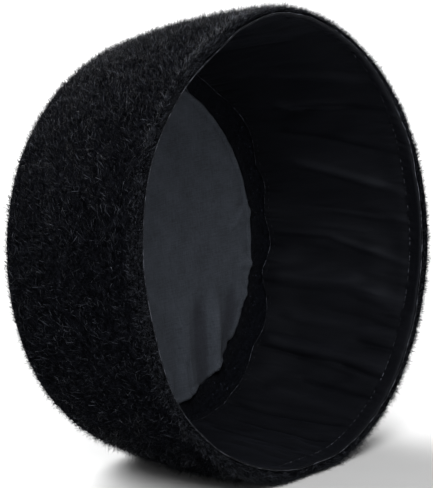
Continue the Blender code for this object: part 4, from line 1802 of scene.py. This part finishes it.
class PRAYER_CAP_OT_crown_lining(bpy.types.Operator):
    """Make the woven crown lining with its folds"""

    bl_idname = "prayer_cap.crown_lining"
    bl_label = "Crown lining"

    def execute(self, context):
        cloth = crown_cloth(context.scene.prayer_cap_cloth)
        return {"FINISHED"}


class PRAYER_CAP_OT_stage(bpy.types.Operator):
    """Set the pale floor, the soft lights and the camera"""

    bl_idname = "prayer_cap.stage"
    bl_label = "Stage"

    def execute(self, context):
        settings = context.scene.prayer_cap_stage
        floor_and_backdrop(settings)
        soft_light("key_light", *KEY_LIGHT, settings.key_power)
        soft_light("back_light", *BACK_LIGHT, settings.back_power)
        world = bpy.data.worlds.new("pale_surroundings")
        world.use_nodes = True
        background = world.node_tree.nodes["Background"]
        background.inputs["Color"].default_value = WHITE
        background.inputs["Strength"].default_value = settings.fill_strength
        context.scene.world = world
        context.scene.view_settings.view_transform = "Standard"
        picture_camera()
        return {"FINISHED"}


OPERATORS = (
    PRAYER_CAP_OT_stage,
    PRAYER_CAP_OT_fur_side,
    PRAYER_CAP_OT_fur_crown,
    PRAYER_CAP_OT_long_hairs,
    PRAYER_CAP_OT_hem,
    PRAYER_CAP_OT_side_lining,
    PRAYER_CAP_OT_seam_band,
    PRAYER_CAP_OT_crown_lining,
)


class PRAYER_CAP_PT_pieces(bpy.types.Panel):
    """Lists the pieces of the cap and its stage"""

    bl_idname = "PRAYER_CAP_PT_pieces"
    bl_label = "Prayer Cap"
    bl_space_type = "VIEW_3D"
    bl_region_type = "UI"
    bl_category = "Prayer Cap"

    def draw(self, context):
        """Show a button for each operator, and the values that a user would change."""
        for operator in OPERATORS:
            self.layout.operator(operator.bl_idname)
        for settings in ("prayer_cap_fur", "prayer_cap_cloth", "prayer_cap_stage"):
            group = getattr(context.scene, settings)
            box = self.layout.box()
            for name in group.__annotations__:
                box.prop(group, name)


SETTINGS = {
    "prayer_cap_fur": CapFurSettings,
    "prayer_cap_cloth": CapClothSettings,
    "prayer_cap_stage": CapStageSettings,
}
CLASSES = (*SETTINGS.values(), *OPERATORS, PRAYER_CAP_PT_pieces)


def register():
    """Register the classes and keep the settings on the scene."""
    for cls in CLASSES:
        bpy.utils.register_class(cls)
    for name, group in SETTINGS.items():
        setattr(bpy.types.Scene, name, PointerProperty(type=group))


def unregister():
    """Take the settings off the scene and unregister the classes."""
    for name in SETTINGS:
        delattr(bpy.types.Scene, name)
    for cls in reversed(CLASSES):
        bpy.utils.unregister_class(cls)


def main():
    """Dress the cap and set its stage."""
    register()
    for operator in OPERATORS:
        group, name = operator.bl_idname.split(".")
        getattr(getattr(bpy.ops, group), name)()


if __name__ == "__main__":
    main()
